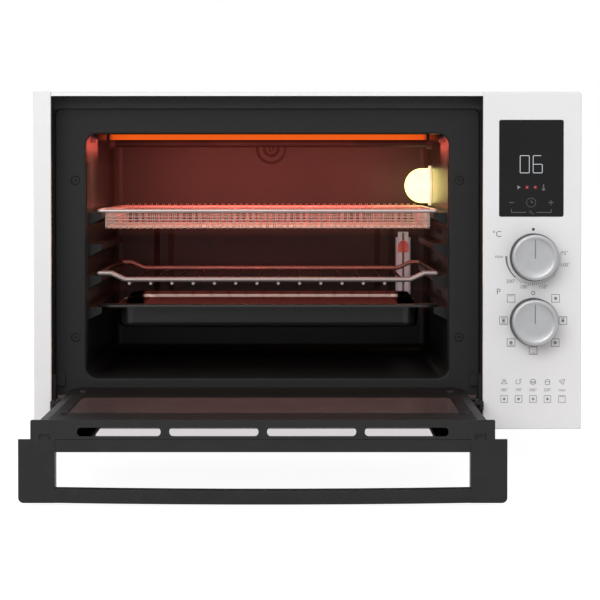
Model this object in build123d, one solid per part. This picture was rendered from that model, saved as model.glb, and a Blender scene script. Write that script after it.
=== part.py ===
from build123d import *
import math
import os

# A countertop mini oven with a drop-down door, built with the door open.
# Millimetres, +Z up, the front faces -Y. The origin is the centre of the base of its box.

# Outer casing
CASE_WIDTH = 540.0
CASE_HEIGHT = 333.0
CASE_DEPTH = 420.0
CASE_SHEET = 1.0
CASE_CORNER_RADIUS = 4.0
FOOT_HEIGHT = 35.0
CHEEK_WIDTH = 17.3
TOP_LIP_HEIGHT = 4.3
TOP_LIP_SETBACK = 1.5
REAR_FLANGE_WIDTH = 10.0
LOUVRE_RISE = 1.5
LOUVRE_WIDTH = 5.0
LOUVRE_SLOT = 2.2
LOUVRE_LENGTH = 28.0
LOUVRE_PITCH = 9.0
LOUVRE_COUNT = 16
LOUVRE_FRONT_MARGIN = 22.0
LOUVRE_DROP = 88.0

# Base, feet and rear
BASE_FLANGE_HEIGHT = 12.0
BASE_FRONT_GAP = 3.0
BASE_VENT_LENGTH = 60.0
BASE_VENT_WIDTH = 5.0
BASE_VENT_PITCH = 14.0
BASE_VENT_COUNT = 14
LEG_INSET = 30.0
LEG_SETBACK = 30.0
LEG_LENGTH = 30.0
LEG_FOLD = 14.0
FOOT_RADIUS = 9.0
FOOT_FLARE = 4.0
FOOT_LEFT_INSET = 41.0
FOOT_RIGHT_INSET = 88.0
FOOT_FRONT_MARGIN = 130.0
FOOT_REAR_MARGIN = 60.0
PAD_THICKNESS = 3.0
PAD_RADIUS = 7.0
REAR_VENT_LENGTH = 70.0
REAR_VENT_WIDTH = 5.0
REAR_VENT_PITCH = 12.0
REAR_VENT_COUNT = 12
REAR_VENT_DROP = 108.0
SPACER_LENGTH = 12.0
SPACER_BASE_RADIUS = 13.0
SPACER_TIP_RADIUS = 8.0
SPACER_SIDE_INSET = 80.0
SPACER_DROP = 48.0
GLAND_BORE_RADIUS = 3.75
GLAND_BODY_RADIUS = 7.0
GLAND_FLANGE_RADIUS = 10.0
GLAND_FLANGE_THICKNESS = 3.0
GLAND_LENGTH = 10.0
GLAND_SIDE_INSET = 55.0
GLAND_RISE = 40.0

# Control panel
PANEL_WIDTH = 97.0
PANEL_THICKNESS = 2.5
PANEL_CORNER_RADIUS = 3.0
PANEL_EDGE_ROUND = 1.2
PANEL_LIP_DEPTH = 8.0
PANEL_LIP_THICKNESS = 1.6
WINDOW_WIDTH = 63.7
WINDOW_HEIGHT = 95.6
WINDOW_THICKNESS = 1.2
WINDOW_CORNER_RADIUS = 2.0
WINDOW_DROP = 27.8
WINDOW_OFFSET = -0.9
WINDOW_LEDGE = 4.0
BOARD_THICKNESS = 1.6
BOARD_STANDOFF = 3.0
BOARD_MARGIN = 1.0
DISPLAY_WIDTH = 36.0
DISPLAY_HEIGHT = 26.0
KNOB_DROP = 39.6
KNOB_PITCH = 63.6
KNOB_OFFSET = 1.1
KNOB_RADIUS = 23.4
KNOB_HEIGHT = 22.0
KNOB_WALL = 2.0
KNOB_CAP_HEIGHT = 6.0
KNOB_CAP_INSET = 0.6
KNOB_CAP_BEVEL = 1.6
KNOB_PANEL_GAP = 0.8
KNOB_HUB_RADIUS = 6.5
SHAFT_RADIUS = 3.0
SHAFT_FLAT = 0.8
SHAFT_HOLE_GAP = 1.0
CONTROL_BODY_WIDTH = 40.0
CONTROL_BODY_HEIGHT = 34.0
CONTROL_BODY_DEPTH = 30.0
CONTROL_SCREW_SPACING = 28.0

# Door bay and black front frame
RECESS_DEPTH = 28.0
FRAME_LAND = 31.5
FRAME_HEAD = 41.0
FRAME_SHEET = 1.0
FRAME_STEP = 2.5
FRAME_BAND_HEIGHT = 11.5
FRAME_FIELD_RADIUS = 7.0
FRAME_STEP_ROUND = 2.2
FRAME_SCREW_RISE = 40.9
FRAME_SCREW_DROP = 46.5
FRAME_SCREW_INSET = 10.2
FRAME_SCREW_RADIUS = 4.65

# Oven cavity
OPENING_RISE = 47.6
OPENING_RADIUS = 12.0
OPENING_EDGE_ROUND = 1.8
CEILING_RISE = 4.0
LINER_REAR_SPACE = 44.0
LINER_SHEET = 1.0
LINER_BACK_RADIUS = 11.0
LINER_FLANGE = 8.0
BEAD_MARGIN = 43.35
BEAD_OFFSET = 3.4
BEAD_TOP = 168.0
BEAD_BOTTOM = 28.0
BEAD_WIDTH = 23.0
BEAD_HEIGHT = 3.0
BEAD_SLOPE = 66.0
BEAD_RADIUS = 4.0
RING_DROP = 15.4
RING_OUTER_RADIUS = 17.7
RING_INNER_RADIUS = 6.2
RING_SLOPE_WIDTH = 3.4
RING_HEIGHT = 2.2
RING_NUB_RADIUS = 2.9
INSULATION_THICKNESS = 10.0
SHIELD_SHEET = 1.0

# Shelf rails pressed into the two side liners
RAIL_COUNT = 4
RAIL_FIRST = 70.0
RAIL_HEADROOM = 83.3
RAIL_DEPTH = 14.0
RAIL_BASE_HEIGHT = 13.0
RAIL_TIP_HEIGHT = 6.0
RAIL_SHEET = 0.8
RAIL_END_MARGIN = 16.0
SIDE_LINER_DROP = 33.0
SIDE_LINER_RISE = 14.0
SIDE_LINER_MARGIN = 4.0
INTAKE_HOLE_RADIUS = 2.6
INTAKE_HOLE_PITCH = 9.0
INTAKE_HOLE_COUNT = 9

# Heaters
GRILL_TUBE_RADIUS = 2.75
GRILL_DROP = 6.6
GRILL_SETBACK = 60.0
TOP_TUBE_RADIUS = 4.0
TOP_TUBE_DROP = 9.9
TOP_TUBE_REAR_GAP = 48.0
BOTTOM_TUBE_RADIUS = 3.25
BOTTOM_TUBE_DROP = 9.0
BOTTOM_TUBE_INSET = 12.0
BOTTOM_CLIP_INSET = 60.0
BOTTOM_TUBE_SETBACK = 75.0
BOTTOM_TUBE_REAR_GAP = 68.0
COLLAR_THICKNESS = 2.5
COLLAR_LENGTH = 9.0
COLLAR_GAP = 0.1
TERMINAL_LENGTH = 12.0
TERMINAL_RADIUS = 1.5
CLIP_THICKNESS = 3.0
CLIP_WIDTH = 9.0
CLIP_INSET = 18.0

# Lamp on the right wall
LAMP_REAR_GAP = 45.0
LAMP_DROP = 57.3
LAMP_RADIUS = 19.5
LAMP_LENGTH = 29.4
LAMP_GLASS = 1.5
LAMP_RING_RADIUS = 22.4
LAMP_RING_THICKNESS = 2.4
LAMP_HOLDER_LENGTH = 26.0
LAMP_HOLDER_WALL = 2.0
BULB_RADIUS = 8.5
BULB_BASE_RADIUS = 6.0

# Temperature sensor on the back wall
SENSOR_SIDE_GAP = 30.15
SENSOR_GUARD_WIDTH = 16.7
SENSOR_GUARD_DEPTH = 11.0
SENSOR_GUARD_TOP = 137.8
SENSOR_GUARD_LENGTH = 88.0
SENSOR_GUARD_SHEET = 1.0
SENSOR_GUARD_NECK = 6.3
SENSOR_SLOT = 2.4
SENSOR_WINDOW_WIDTH = 12.4
SENSOR_WINDOW_HEIGHT = 13.6
SENSOR_WINDOW_DROP = 9.8
SENSOR_RADIUS = 2.2

# Convection fan behind the right wall
FAN_SETBACK = 150.0
FAN_RISE = 105.0
FAN_RADIUS = 48.0
FAN_WIDTH = 14.0
FAN_BLADES = 10
FAN_BLADE_THICKNESS = 1.2
FAN_HUB_RADIUS = 9.0
FAN_GAP = 6.0
FAN_HOUSING_MARGIN = 12.0
FAN_HOUSING_DEPTH = 26.0
FAN_SHAFT_RADIUS = 2.5
MOTOR_RADIUS = 26.0
MOTOR_LENGTH = 32.0

# Door, in its own terms: up from the pivot, and in from the inner face
SEAL_GAP = 0.5
PIVOT_INSET = 13.0
PIVOT_RISE = 26.7
DOOR_TOP_GAP = 1.5
DOOR_TAIL = 11.0
DOOR_SIDE_GAP = 12.35
DOOR_BOX_THICKNESS = 16.8
DOOR_SHEET = 1.0
DOOR_BEVEL_WIDTH = 9.8
DOOR_BEVEL_DROP = 3.0
DOOR_PAN_INSET = 5.2
TRIM_THICKNESS = 3.0
TRIM_SLOT_HEIGHT = 7.6
TRIM_SLOT_DEPTH = 10.4
TRIM_SLOT_COUNT = 4
TRIM_SLOT_MARGIN = 40.1
TRIM_END_SLOT_CUT = 4.7
TRIM_SLOT_GAP = 7.4
TRIM_NOTCH_INSET = 12.5
TRIM_NOTCH_WIDTH = 10.3
TRIM_NOTCH_HEIGHT = 4.6
TRIM_NOTCH_DEPTH = 1.5
WINDOW_BORDER = 25.5
WINDOW_TOP_BORDER = 59.1
WINDOW_OPENING_LOW = 92.7
WINDOW_OPENING_RADIUS = 6.0
INNER_GLASS_THICKNESS = 4.0
INNER_GLASS_OVERLAP = 7.0
OUTER_GLASS_THICKNESS = 4.0
SIDE_RAIL_GAP = 3.3
SIDE_RAIL_WALL = 2.0
GLASS_CLIP_LENGTH = 22.0
GLASS_CLIP_WIDTH = 10.0
GLASS_CLIP_THICKNESS = 1.2
DOOR_SCREW_RISE = 49.0
DOOR_SCREW_MARGIN = 2.5
HANDLE_WING = 10.6
HANDLE_POST_WIDTH = 31.7
HANDLE_DEPTH = 14.0
HANDLE_BASE_THICKNESS = 11.2
HANDLE_GAP = 31.6
HANDLE_GRIP_THICKNESS = 12.2
HANDLE_CORNER_RADIUS = 4.7
HANDLE_WING_DEPTH = 4.0
HANDLE_BOW = 1.5
HANDLE_TAB_WIDTH = 7.3
HANDLE_TAB_HEIGHT = 2.0
HANDLE_TAB_DEPTH = 1.2
HANDLE_BASE_SETBACK = 0.6
HANDLE_EDGE_ROUND = 0.8

# Door hinge
PIN_RADIUS = 2.5
PIN_FIT = 0.05
BUSH_RADIUS = 3.6
BUSH_LENGTH = 9.0
BRACKET_THICKNESS = 3.0
BRACKET_HEIGHT = 36.0
BRACKET_LIP = 12.0
STOP_LUG_RADIUS = 3.0
STOP_LUG_REACH = 22.0
STOP_LUG_LENGTH = 10.0
STOP_LUG_DROP = 8.0
STOP_GAP = 0.3

# Shelves
SHELF_CLEARANCE = 0.3
SHELF_SETBACK = 17.0
SHELF_BACK_GAP = 37.0
SHELF_SIDE_GAP = 9.5
RACK_ROD_RADIUS = 2.35
RACK_BAR_RADIUS = 1.5
RACK_BAR_COUNT = 14
RACK_BAR_MARGIN = 32.75
RACK_DROP = 6.4
RACK_WELD = 0.15
RACK_END_FLAT = 12.0
RACK_SLOPE = 14.0
RACK_DOUBLE_GAP = 6.2
RACK_BEND = 6.0
BASKET_ROD_RADIUS = 1.7
BASKET_INSET = 8.75
BASKET_DROP = 20.0
BASKET_SHEET = 1.0
BASKET_HOLES_ACROSS = 15
BASKET_HOLES_DEEP = 13
BASKET_WIRE = 3.4
BASKET_CORNER_RADIUS = 2.6
TRAY_SHEET = 0.8
TRAY_BOWL_INSET = 18.0
TRAY_FALL = 24.0
TRAY_CORNER_RADIUS = 18.0
TRAY_EDGE_RADIUS = 6.0
TRAY_DRAFT = 4.8
TRAY_LIP_DROP = 2.4

# Small screws
SCREW_RADIUS = 1.5
SCREW_HEAD_RADIUS = 3.2
SCREW_HEAD_HEIGHT = 1.6
SCREW_LENGTH = 7.0
SCREW_HOLE_GAP = 0.15

# Heights
CASE_BOTTOM = FOOT_HEIGHT
CASE_TOP = CASE_BOTTOM + CASE_HEIGHT
BASE_TOP = CASE_BOTTOM + CASE_SHEET
BAY_TOP = CASE_TOP - TOP_LIP_HEIGHT
OPENING_BOTTOM = CASE_BOTTOM + OPENING_RISE
OPENING_TOP = CASE_TOP - FRAME_HEAD
CEILING = OPENING_TOP + CEILING_RISE
PIVOT_Z = CASE_BOTTOM + PIVOT_RISE
DOOR_FACE_Z = PIVOT_Z + PIVOT_INSET
WINDOW_TOP = CASE_TOP - WINDOW_DROP
WINDOW_BOTTOM = WINDOW_TOP - WINDOW_HEIGHT
WINDOW_Z = (WINDOW_BOTTOM + WINDOW_TOP) / 2
KNOB_HEIGHTS = [WINDOW_BOTTOM - KNOB_DROP - KNOB_PITCH * n for n in (1, 0)]

# Sideways places
CASE_RIGHT = CASE_WIDTH / 2
BAY_LEFT = CHEEK_WIDTH - CASE_RIGHT
BAY_RIGHT = CASE_RIGHT - PANEL_WIDTH
BAY_CENTRE = (BAY_LEFT + BAY_RIGHT) / 2
LINER_LEFT = BAY_LEFT + FRAME_LAND
LINER_RIGHT = BAY_RIGHT - FRAME_LAND
LINER_WALL_X = LINER_RIGHT + LINER_SHEET
SHIELD_X = BAY_RIGHT
CONTROL_X = (BAY_RIGHT + CASE_RIGHT) / 2
WINDOW_X = CONTROL_X + WINDOW_OFFSET
KNOB_X = CONTROL_X + KNOB_OFFSET
GLAND_X = CASE_RIGHT - GLAND_SIDE_INSET
SPACER_X = CASE_RIGHT - SPACER_SIDE_INSET
SENSOR_X = LINER_RIGHT - SENSOR_SIDE_GAP

# Places from front to back
PIVOT_SETBACK = RECESS_DEPTH - SEAL_GAP - PIVOT_INSET
DOOR_REACH = BAY_TOP - DOOR_TOP_GAP - PIVOT_Z
DOOR_PROUD = DOOR_REACH - PIVOT_SETBACK
FULL_DEPTH = DOOR_PROUD + CASE_DEPTH + SPACER_LENGTH
FRONT_Y = DOOR_PROUD - FULL_DEPTH / 2
BACK_Y = FRONT_Y + CASE_DEPTH
FRAME_Y = FRONT_Y + RECESS_DEPTH
FRAME_BACK_Y = FRAME_Y + FRAME_STEP + FRAME_SHEET
LINER_BACK_Y = BACK_Y - LINER_REAR_SPACE
PIVOT_Y = FRONT_Y + PIVOT_SETBACK
PANEL_BACK_Y = FRONT_Y + PANEL_THICKNESS
FAN_Y = FRAME_Y + FAN_SETBACK
LAMP_Y = LINER_BACK_Y - LAMP_REAR_GAP

# The door, in its own terms
DOOR_BOX_WIDTH = BAY_RIGHT - BAY_LEFT - 2 * DOOR_SIDE_GAP
WINDOW_OPENING_WIDTH = DOOR_BOX_WIDTH - 2 * WINDOW_BORDER
WINDOW_OPENING_HIGH = DOOR_REACH - WINDOW_TOP_BORDER
SIDE_RAIL_WIDTH = WINDOW_BORDER - DOOR_PAN_INSET - DOOR_SHEET - SIDE_RAIL_GAP
TRIM_NOTCH_OFFSET = DOOR_BOX_WIDTH / 2 - TRIM_NOTCH_INSET
HANDLE_WIDTH = DOOR_BOX_WIDTH + 2 * HANDLE_WING

# Shelf heights and outlines
LOWEST_RAIL = OPENING_BOTTOM + RAIL_FIRST
RAIL_PITCH = (CEILING - RAIL_HEADROOM - LOWEST_RAIL) / (RAIL_COUNT - 1)
RAIL_TOPS = [LOWEST_RAIL + RAIL_PITCH * n for n in range(RAIL_COUNT)]
SIDE_LINER_LEFT = LINER_LEFT + RAIL_SHEET
SIDE_LINER_RIGHT = LINER_RIGHT - RAIL_SHEET
SHELF_LEFT = LINER_LEFT + SHELF_SIDE_GAP
SHELF_RIGHT = LINER_RIGHT - SHELF_SIDE_GAP
SHELF_FRONT_Y = FRAME_Y + SHELF_SETBACK
SHELF_BACK_Y = LINER_BACK_Y - SHELF_BACK_GAP
BASKET_LEFT = SHELF_LEFT + BASKET_INSET
BASKET_RIGHT = SHELF_RIGHT - BASKET_INSET
TRAY_TOP = RAIL_TOPS[0] + SHELF_CLEARANCE + TRAY_LIP_DROP
RACK_Z = RAIL_TOPS[1] + SHELF_CLEARANCE + RACK_ROD_RADIUS
BASKET_Z = RAIL_TOPS[3] + SHELF_CLEARANCE + BASKET_ROD_RADIUS
FAN_Z = OPENING_BOTTOM + FAN_RISE
LAMP_Z = CEILING - LAMP_DROP
MIRRORED = (-1, 1)


def block(x0, x1, y0, y1, z0, z1):
    """A box between two corners."""
    place = Pos((x0 + x1) / 2, (y0 + y1) / 2, (z0 + z1) / 2)
    return place * Box(x1 - x0, y1 - y0, z1 - z0)


def rod(start, end, radius):
    """A round bar from one point to another."""
    along = Vector(*end) - Vector(*start)
    section = Plane(origin=start, z_dir=along.normalized()) * Circle(radius)
    return extrude(section, along.length)


def tube(start, end, outer, inner):
    """A round bar with a hole along it."""
    return rod(start, end, outer) - rod(start, end, inner)


def bent_rod(points, bend, radius):
    """A round bar that follows straight runs with rounded bends."""
    path = FilletPolyline(*points, radius=bend)
    section = Plane(origin=path @ 0, z_dir=path % 0) * Circle(radius)
    return sweep(section, path)


def rounded_slab(x0, x1, y0, y1, z0, z1, radius):
    """A slab seen from the front, with its four corners rounded about Y."""
    slab = block(x0, x1, y0, y1, z0, z1)
    return fillet(slab.edges().filter_by(Axis.Y), radius)


def joined(pieces):
    """One solid out of pieces that touch."""
    whole = pieces[0]
    for piece in pieces[1:]:
        whole += piece
    return whole


def cut_all(solid, tools):
    """The solid without any of the tools."""
    for tool in tools:
        solid -= tool
    return solid


def screw(point, inwards):
    """A small pan-head screw whose head rests at the point; inwards is a unit vector."""
    x, y, z = point
    dx, dy, dz = inwards
    tip = (x + dx * SCREW_LENGTH, y + dy * SCREW_LENGTH, z + dz * SCREW_LENGTH)
    top = (x - dx * SCREW_HEAD_HEIGHT, y - dy * SCREW_HEAD_HEIGHT, z - dz * SCREW_HEAD_HEIGHT)
    slot = Plane(origin=top, z_dir=inwards) * Rectangle(SCREW_HEAD_RADIUS * 1.3, 0.7)
    cross = Plane(origin=top, z_dir=inwards) * Rectangle(0.7, SCREW_HEAD_RADIUS * 1.3)
    drive = extrude(slot, SCREW_HEAD_HEIGHT / 2) + extrude(cross, SCREW_HEAD_HEIGHT / 2)
    return rod(top, point, SCREW_HEAD_RADIUS) + rod(point, tip, SCREW_RADIUS) - drive


def screw_hole(point, inwards, depth=4.0):
    """The clearance hole for a small screw."""
    start = [p - d * depth for p, d in zip(point, inwards)]
    end = [p + d * SCREW_LENGTH for p, d in zip(point, inwards)]
    return rod(start, end, SCREW_RADIUS + SCREW_HOLE_GAP)


def write(node, shape):
    """One STEP file for one node."""
    shape.label = node
    export_step(shape, os.path.join("parts", node + ".step"))


# Where the fasteners go


def frame_screw_points():
    """Plugged screws that hold the black frame to the liner."""
    left = LINER_LEFT - FRAME_SCREW_INSET
    right = LINER_RIGHT + FRAME_SCREW_INSET
    low, high = OPENING_BOTTOM + FRAME_SCREW_RISE, OPENING_TOP - FRAME_SCREW_DROP
    return [(x, FRAME_Y, z) for x in (left, right) for z in (low, high)]


def rear_screw_points():
    """Screws round the edge of the rear cover."""
    side = CASE_RIGHT - CASE_SHEET - REAR_FLANGE_WIDTH / 2
    low = BASE_TOP + REAR_FLANGE_WIDTH / 2
    high = CASE_TOP - CASE_SHEET - REAR_FLANGE_WIDTH / 2
    middle = (low + high) / 2
    points = [(s * side, BACK_Y, z) for s in MIRRORED for z in (low, middle, high)]
    return points + [(s * side / 3, BACK_Y, high) for s in MIRRORED]


def foot_points():
    """Where the four feet stand."""
    ends = (FRONT_Y + FOOT_FRONT_MARGIN, BACK_Y - FOOT_REAR_MARGIN)
    sides = (FOOT_LEFT_INSET - CASE_RIGHT, CASE_RIGHT - FOOT_RIGHT_INSET)
    return [(x, y) for x in sides for y in ends]


def control_screw_points():
    """Two screws beside each control shaft, hidden under the knob."""
    half = CONTROL_SCREW_SPACING / 2
    return [(KNOB_X + s * half, FRONT_Y, z) for z in KNOB_HEIGHTS for s in MIRRORED]


# Casing, base and rear


def louvre_cuts_and_hoods():
    """Pressed vertical vents on both sides of the casing."""
    hoods, cuts = [], []
    z0 = CASE_TOP - LOUVRE_DROP - LOUVRE_LENGTH
    for side in MIRRORED:
        outside = side * (CASE_RIGHT + LOUVRE_RISE)
        inside = side * (CASE_RIGHT - CASE_SHEET)
        x0, x1 = sorted((outside, inside))
        for n in range(LOUVRE_COUNT):
            y0 = FRONT_Y + LOUVRE_FRONT_MARGIN + n * LOUVRE_PITCH
            hoods.append(block(x0, x1, y0, y0 + LOUVRE_WIDTH, z0, z0 + LOUVRE_LENGTH))
            slot_y = y0 + LOUVRE_WIDTH - LOUVRE_SLOT
            inset = (LOUVRE_WIDTH - LOUVRE_SLOT) / 2
            cuts.append(
                block(x0 - 1, x1 + 1, slot_y, y0 + LOUVRE_WIDTH, z0 + inset, z0 + LOUVRE_LENGTH - inset)
            )
    return hoods, cuts


def make_outer_casing():
    """A folded sheet over the top and both sides, with the white cheek left of the door."""
    side = CASE_RIGHT
    start_y = PANEL_BACK_Y
    outer = block(-side, side, start_y, BACK_Y, CASE_BOTTOM, CASE_TOP)
    top_edges = outer.edges().filter_by(Axis.Y).group_by(Axis.Z)[-1]
    outer = fillet(top_edges, CASE_CORNER_RADIUS)
    inner = block(
        CASE_SHEET - side, side - CASE_SHEET, start_y - 1, BACK_Y + 1,
        CASE_BOTTOM - 1, CASE_TOP - CASE_SHEET,
    )
    inner_edges = inner.edges().filter_by(Axis.Y).group_by(Axis.Z)[-1]
    inner = fillet(inner_edges, CASE_CORNER_RADIUS - CASE_SHEET)
    shell = outer - inner
    cheek = block(-side, BAY_LEFT, FRONT_Y, start_y, CASE_BOTTOM, CASE_TOP)
    cheek = fillet(cheek.edges().filter_by(Axis.Z).group_by(Axis.Y)[0], PANEL_EDGE_ROUND)
    lip_y = FRONT_Y + TOP_LIP_SETBACK + TOP_LIP_HEIGHT
    shell -= block(BAY_LEFT, BAY_RIGHT, start_y - 1, lip_y, BAY_TOP, CASE_TOP + 1)
    lip_axis = ((BAY_LEFT, lip_y, BAY_TOP), (BAY_RIGHT, lip_y, BAY_TOP))
    lip = tube(*lip_axis, TOP_LIP_HEIGHT, TOP_LIP_HEIGHT - CASE_SHEET)
    lip &= block(BAY_LEFT, BAY_RIGHT, FRONT_Y, lip_y, BAY_TOP, CASE_TOP)
    flange_y = BACK_Y - 2 * CASE_SHEET
    flange = block(
        CASE_SHEET - side, side - CASE_SHEET, flange_y, flange_y + CASE_SHEET,
        BASE_TOP, CASE_TOP - CASE_SHEET,
    )
    flange -= block(
        CASE_SHEET + REAR_FLANGE_WIDTH - side, side - CASE_SHEET - REAR_FLANGE_WIDTH,
        flange_y - 1, flange_y + 2, CASE_BOTTOM, CASE_TOP - CASE_SHEET - REAR_FLANGE_WIDTH,
    )
    flange -= block(-side, side, flange_y - 1, flange_y + 2, CASE_BOTTOM, BASE_TOP)
    hoods, cuts = louvre_cuts_and_hoods()
    casing = joined([shell, cheek, lip, flange] + hoods)
    holes = [screw_hole(p, (0, -1, 0)) for p in rear_screw_points()]
    return cut_all(casing, cuts + holes)


def make_base_plate():
    """The floor of the casing, with folded sides, vents and two legs under the oven."""
    side = CASE_RIGHT - CASE_SHEET
    y0, y1 = FRONT_Y + BASE_FRONT_GAP, BACK_Y - 2 * CASE_SHEET
    plate = block(-side, side, y0, y1, CASE_BOTTOM, BASE_TOP)
    for s in MIRRORED:
        x0, x1 = sorted((s * side, s * (side - CASE_SHEET)))
        plate += block(x0, x1, FRAME_BACK_Y, y1 - 1, CASE_BOTTOM, CASE_BOTTOM + BASE_FLANGE_HEIGHT)
    vents = []
    for n in range(BASE_VENT_COUNT):
        x = BAY_CENTRE + (n - (BASE_VENT_COUNT - 1) / 2) * BASE_VENT_PITCH
        y = (FRAME_BACK_Y + BACK_Y) / 2
        vents.append(
            block(x, x + BASE_VENT_WIDTH, y - BASE_VENT_LENGTH / 2, y + BASE_VENT_LENGTH / 2,
                  CASE_BOTTOM - 1, BASE_TOP + 1)
        )
    top = OPENING_BOTTOM - LINER_SHEET
    leg_y0, leg_y1 = LINER_BACK_Y - LEG_SETBACK - LEG_LENGTH, LINER_BACK_Y - LEG_SETBACK
    for x in (LINER_LEFT + LEG_INSET, LINER_RIGHT - LEG_INSET):
        plate += block(x - CASE_SHEET, x, leg_y0, leg_y1, BASE_TOP, top)
        plate += block(x - LEG_FOLD, x, leg_y0, leg_y1, top - CASE_SHEET, top)
    holes = [screw_hole((x, y, CASE_BOTTOM), (0, 0, 1)) for x, y in foot_points()]
    return cut_all(plate, vents + holes)


def make_feet():
    """Four flared feet, with a rubber pad and a screw up into the base in each."""
    feet, pads, screws = [], [], []
    for x, y in foot_points():
        profile = Polyline(
            (0, PAD_THICKNESS), (FOOT_RADIUS, PAD_THICKNESS),
            (FOOT_RADIUS, FOOT_HEIGHT - FOOT_FLARE),
            (FOOT_RADIUS + FOOT_FLARE, FOOT_HEIGHT), (0, FOOT_HEIGHT), close=True,
        )
        foot = revolve(make_face(Plane.XZ * profile), Axis.Z)
        head_z = FOOT_HEIGHT - SCREW_LENGTH / 2
        foot -= rod((0, 0, PAD_THICKNESS), (0, 0, head_z), SCREW_HEAD_RADIUS + SCREW_HOLE_GAP)
        foot -= rod((0, 0, PAD_THICKNESS), (0, 0, FOOT_HEIGHT), SCREW_RADIUS + SCREW_HOLE_GAP)
        feet.append(Pos(x, y, 0) * foot)
        pads.append(Pos(x, y, 0) * rod((0, 0, 0), (0, 0, PAD_THICKNESS), PAD_RADIUS))
        screws.append(screw((x, y, head_z), (0, 0, 1)))
    return Compound(feet), Compound(pads), screws


def make_rear_cover():
    """A flat cover with rows of vents, let into the back of the casing."""
    side = CASE_RIGHT - CASE_SHEET
    cover = block(-side, side, BACK_Y - CASE_SHEET, BACK_Y, CASE_BOTTOM, CASE_TOP - CASE_SHEET)
    corner = cover.edges().filter_by(Axis.Y).group_by(Axis.Z)[-1]
    cover = fillet(corner, CASE_CORNER_RADIUS - CASE_SHEET)
    vents = []
    for row in (BAY_CENTRE, CONTROL_X):
        count = REAR_VENT_COUNT if row == BAY_CENTRE else REAR_VENT_COUNT // 2
        for n in range(count):
            x = row + (n - (count - 1) / 2) * REAR_VENT_PITCH
            z = CASE_TOP - REAR_VENT_DROP
            vents.append(
                block(x - REAR_VENT_WIDTH / 2, x + REAR_VENT_WIDTH / 2, BACK_Y - 3, BACK_Y + 1,
                      z - REAR_VENT_LENGTH / 2, z + REAR_VENT_LENGTH / 2)
            )
    holes = [screw_hole(p, (0, -1, 0)) for p in rear_screw_points()]
    z = CASE_BOTTOM + GLAND_RISE
    holes.append(rod((GLAND_X, BACK_Y - 3, z), (GLAND_X, BACK_Y + 1, z), GLAND_BODY_RADIUS))
    for x in (-SPACER_X, SPACER_X):
        z = CASE_TOP - SPACER_DROP
        holes.append(rod((x, BACK_Y - 3, z), (x, BACK_Y + 1, z), SPACER_TIP_RADIUS / 2))
    return cut_all(cover, vents + holes)


def make_rear_spacers():
    """Two cones that keep the hot rear cover off a wall."""
    pieces = []
    for s in MIRRORED:
        x, z = s * SPACER_X, CASE_TOP - SPACER_DROP
        front = Plane(origin=(x, BACK_Y, z), z_dir=(0, 1, 0))
        back = Plane(origin=(x, BACK_Y + SPACER_LENGTH, z), z_dir=(0, 1, 0))
        cone = loft([front * Circle(SPACER_BASE_RADIUS), back * Circle(SPACER_TIP_RADIUS)])
        stem = rod((x, BACK_Y - CASE_SHEET * 2, z), (x, BACK_Y, z), SPACER_TIP_RADIUS / 2)
        pieces.append(cone + stem)
    return Compound(pieces)


def make_cord_gland():
    """The sleeve that the mains lead goes in through."""
    x, z = GLAND_X, CASE_BOTTOM + GLAND_RISE
    inner_y = BACK_Y - CASE_SHEET - GLAND_FLANGE_THICKNESS
    body = rod((x, inner_y, z), (x, BACK_Y + GLAND_LENGTH, z), GLAND_BODY_RADIUS)
    body += rod((x, BACK_Y, z), (x, BACK_Y + GLAND_FLANGE_THICKNESS, z), GLAND_FLANGE_RADIUS)
    body += rod((x, inner_y, z), (x, BACK_Y - CASE_SHEET, z), GLAND_FLANGE_RADIUS)
    return body - rod((x, inner_y - 1, z), (x, BACK_Y + GLAND_LENGTH + 1, z), GLAND_BORE_RADIUS)


def make_terminal_block():
    """The block that the mains lead is wired to, fixed to the base."""
    x, y = GLAND_X, BACK_Y - 45
    body = block(x - 20, x + 20, y - 8, y + 8, BASE_TOP, BASE_TOP + 18)
    for n in range(3):
        centre = x + (n - 1) * 12
        body -= rod((centre, y - 9, BASE_TOP + 8), (centre, y + 9, BASE_TOP + 8), 2.5)
        body -= rod((centre, y, BASE_TOP + 12), (centre, y, BASE_TOP + 19), 2.0)
    return body


# Black frame, liner and what is fixed to them


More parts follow.
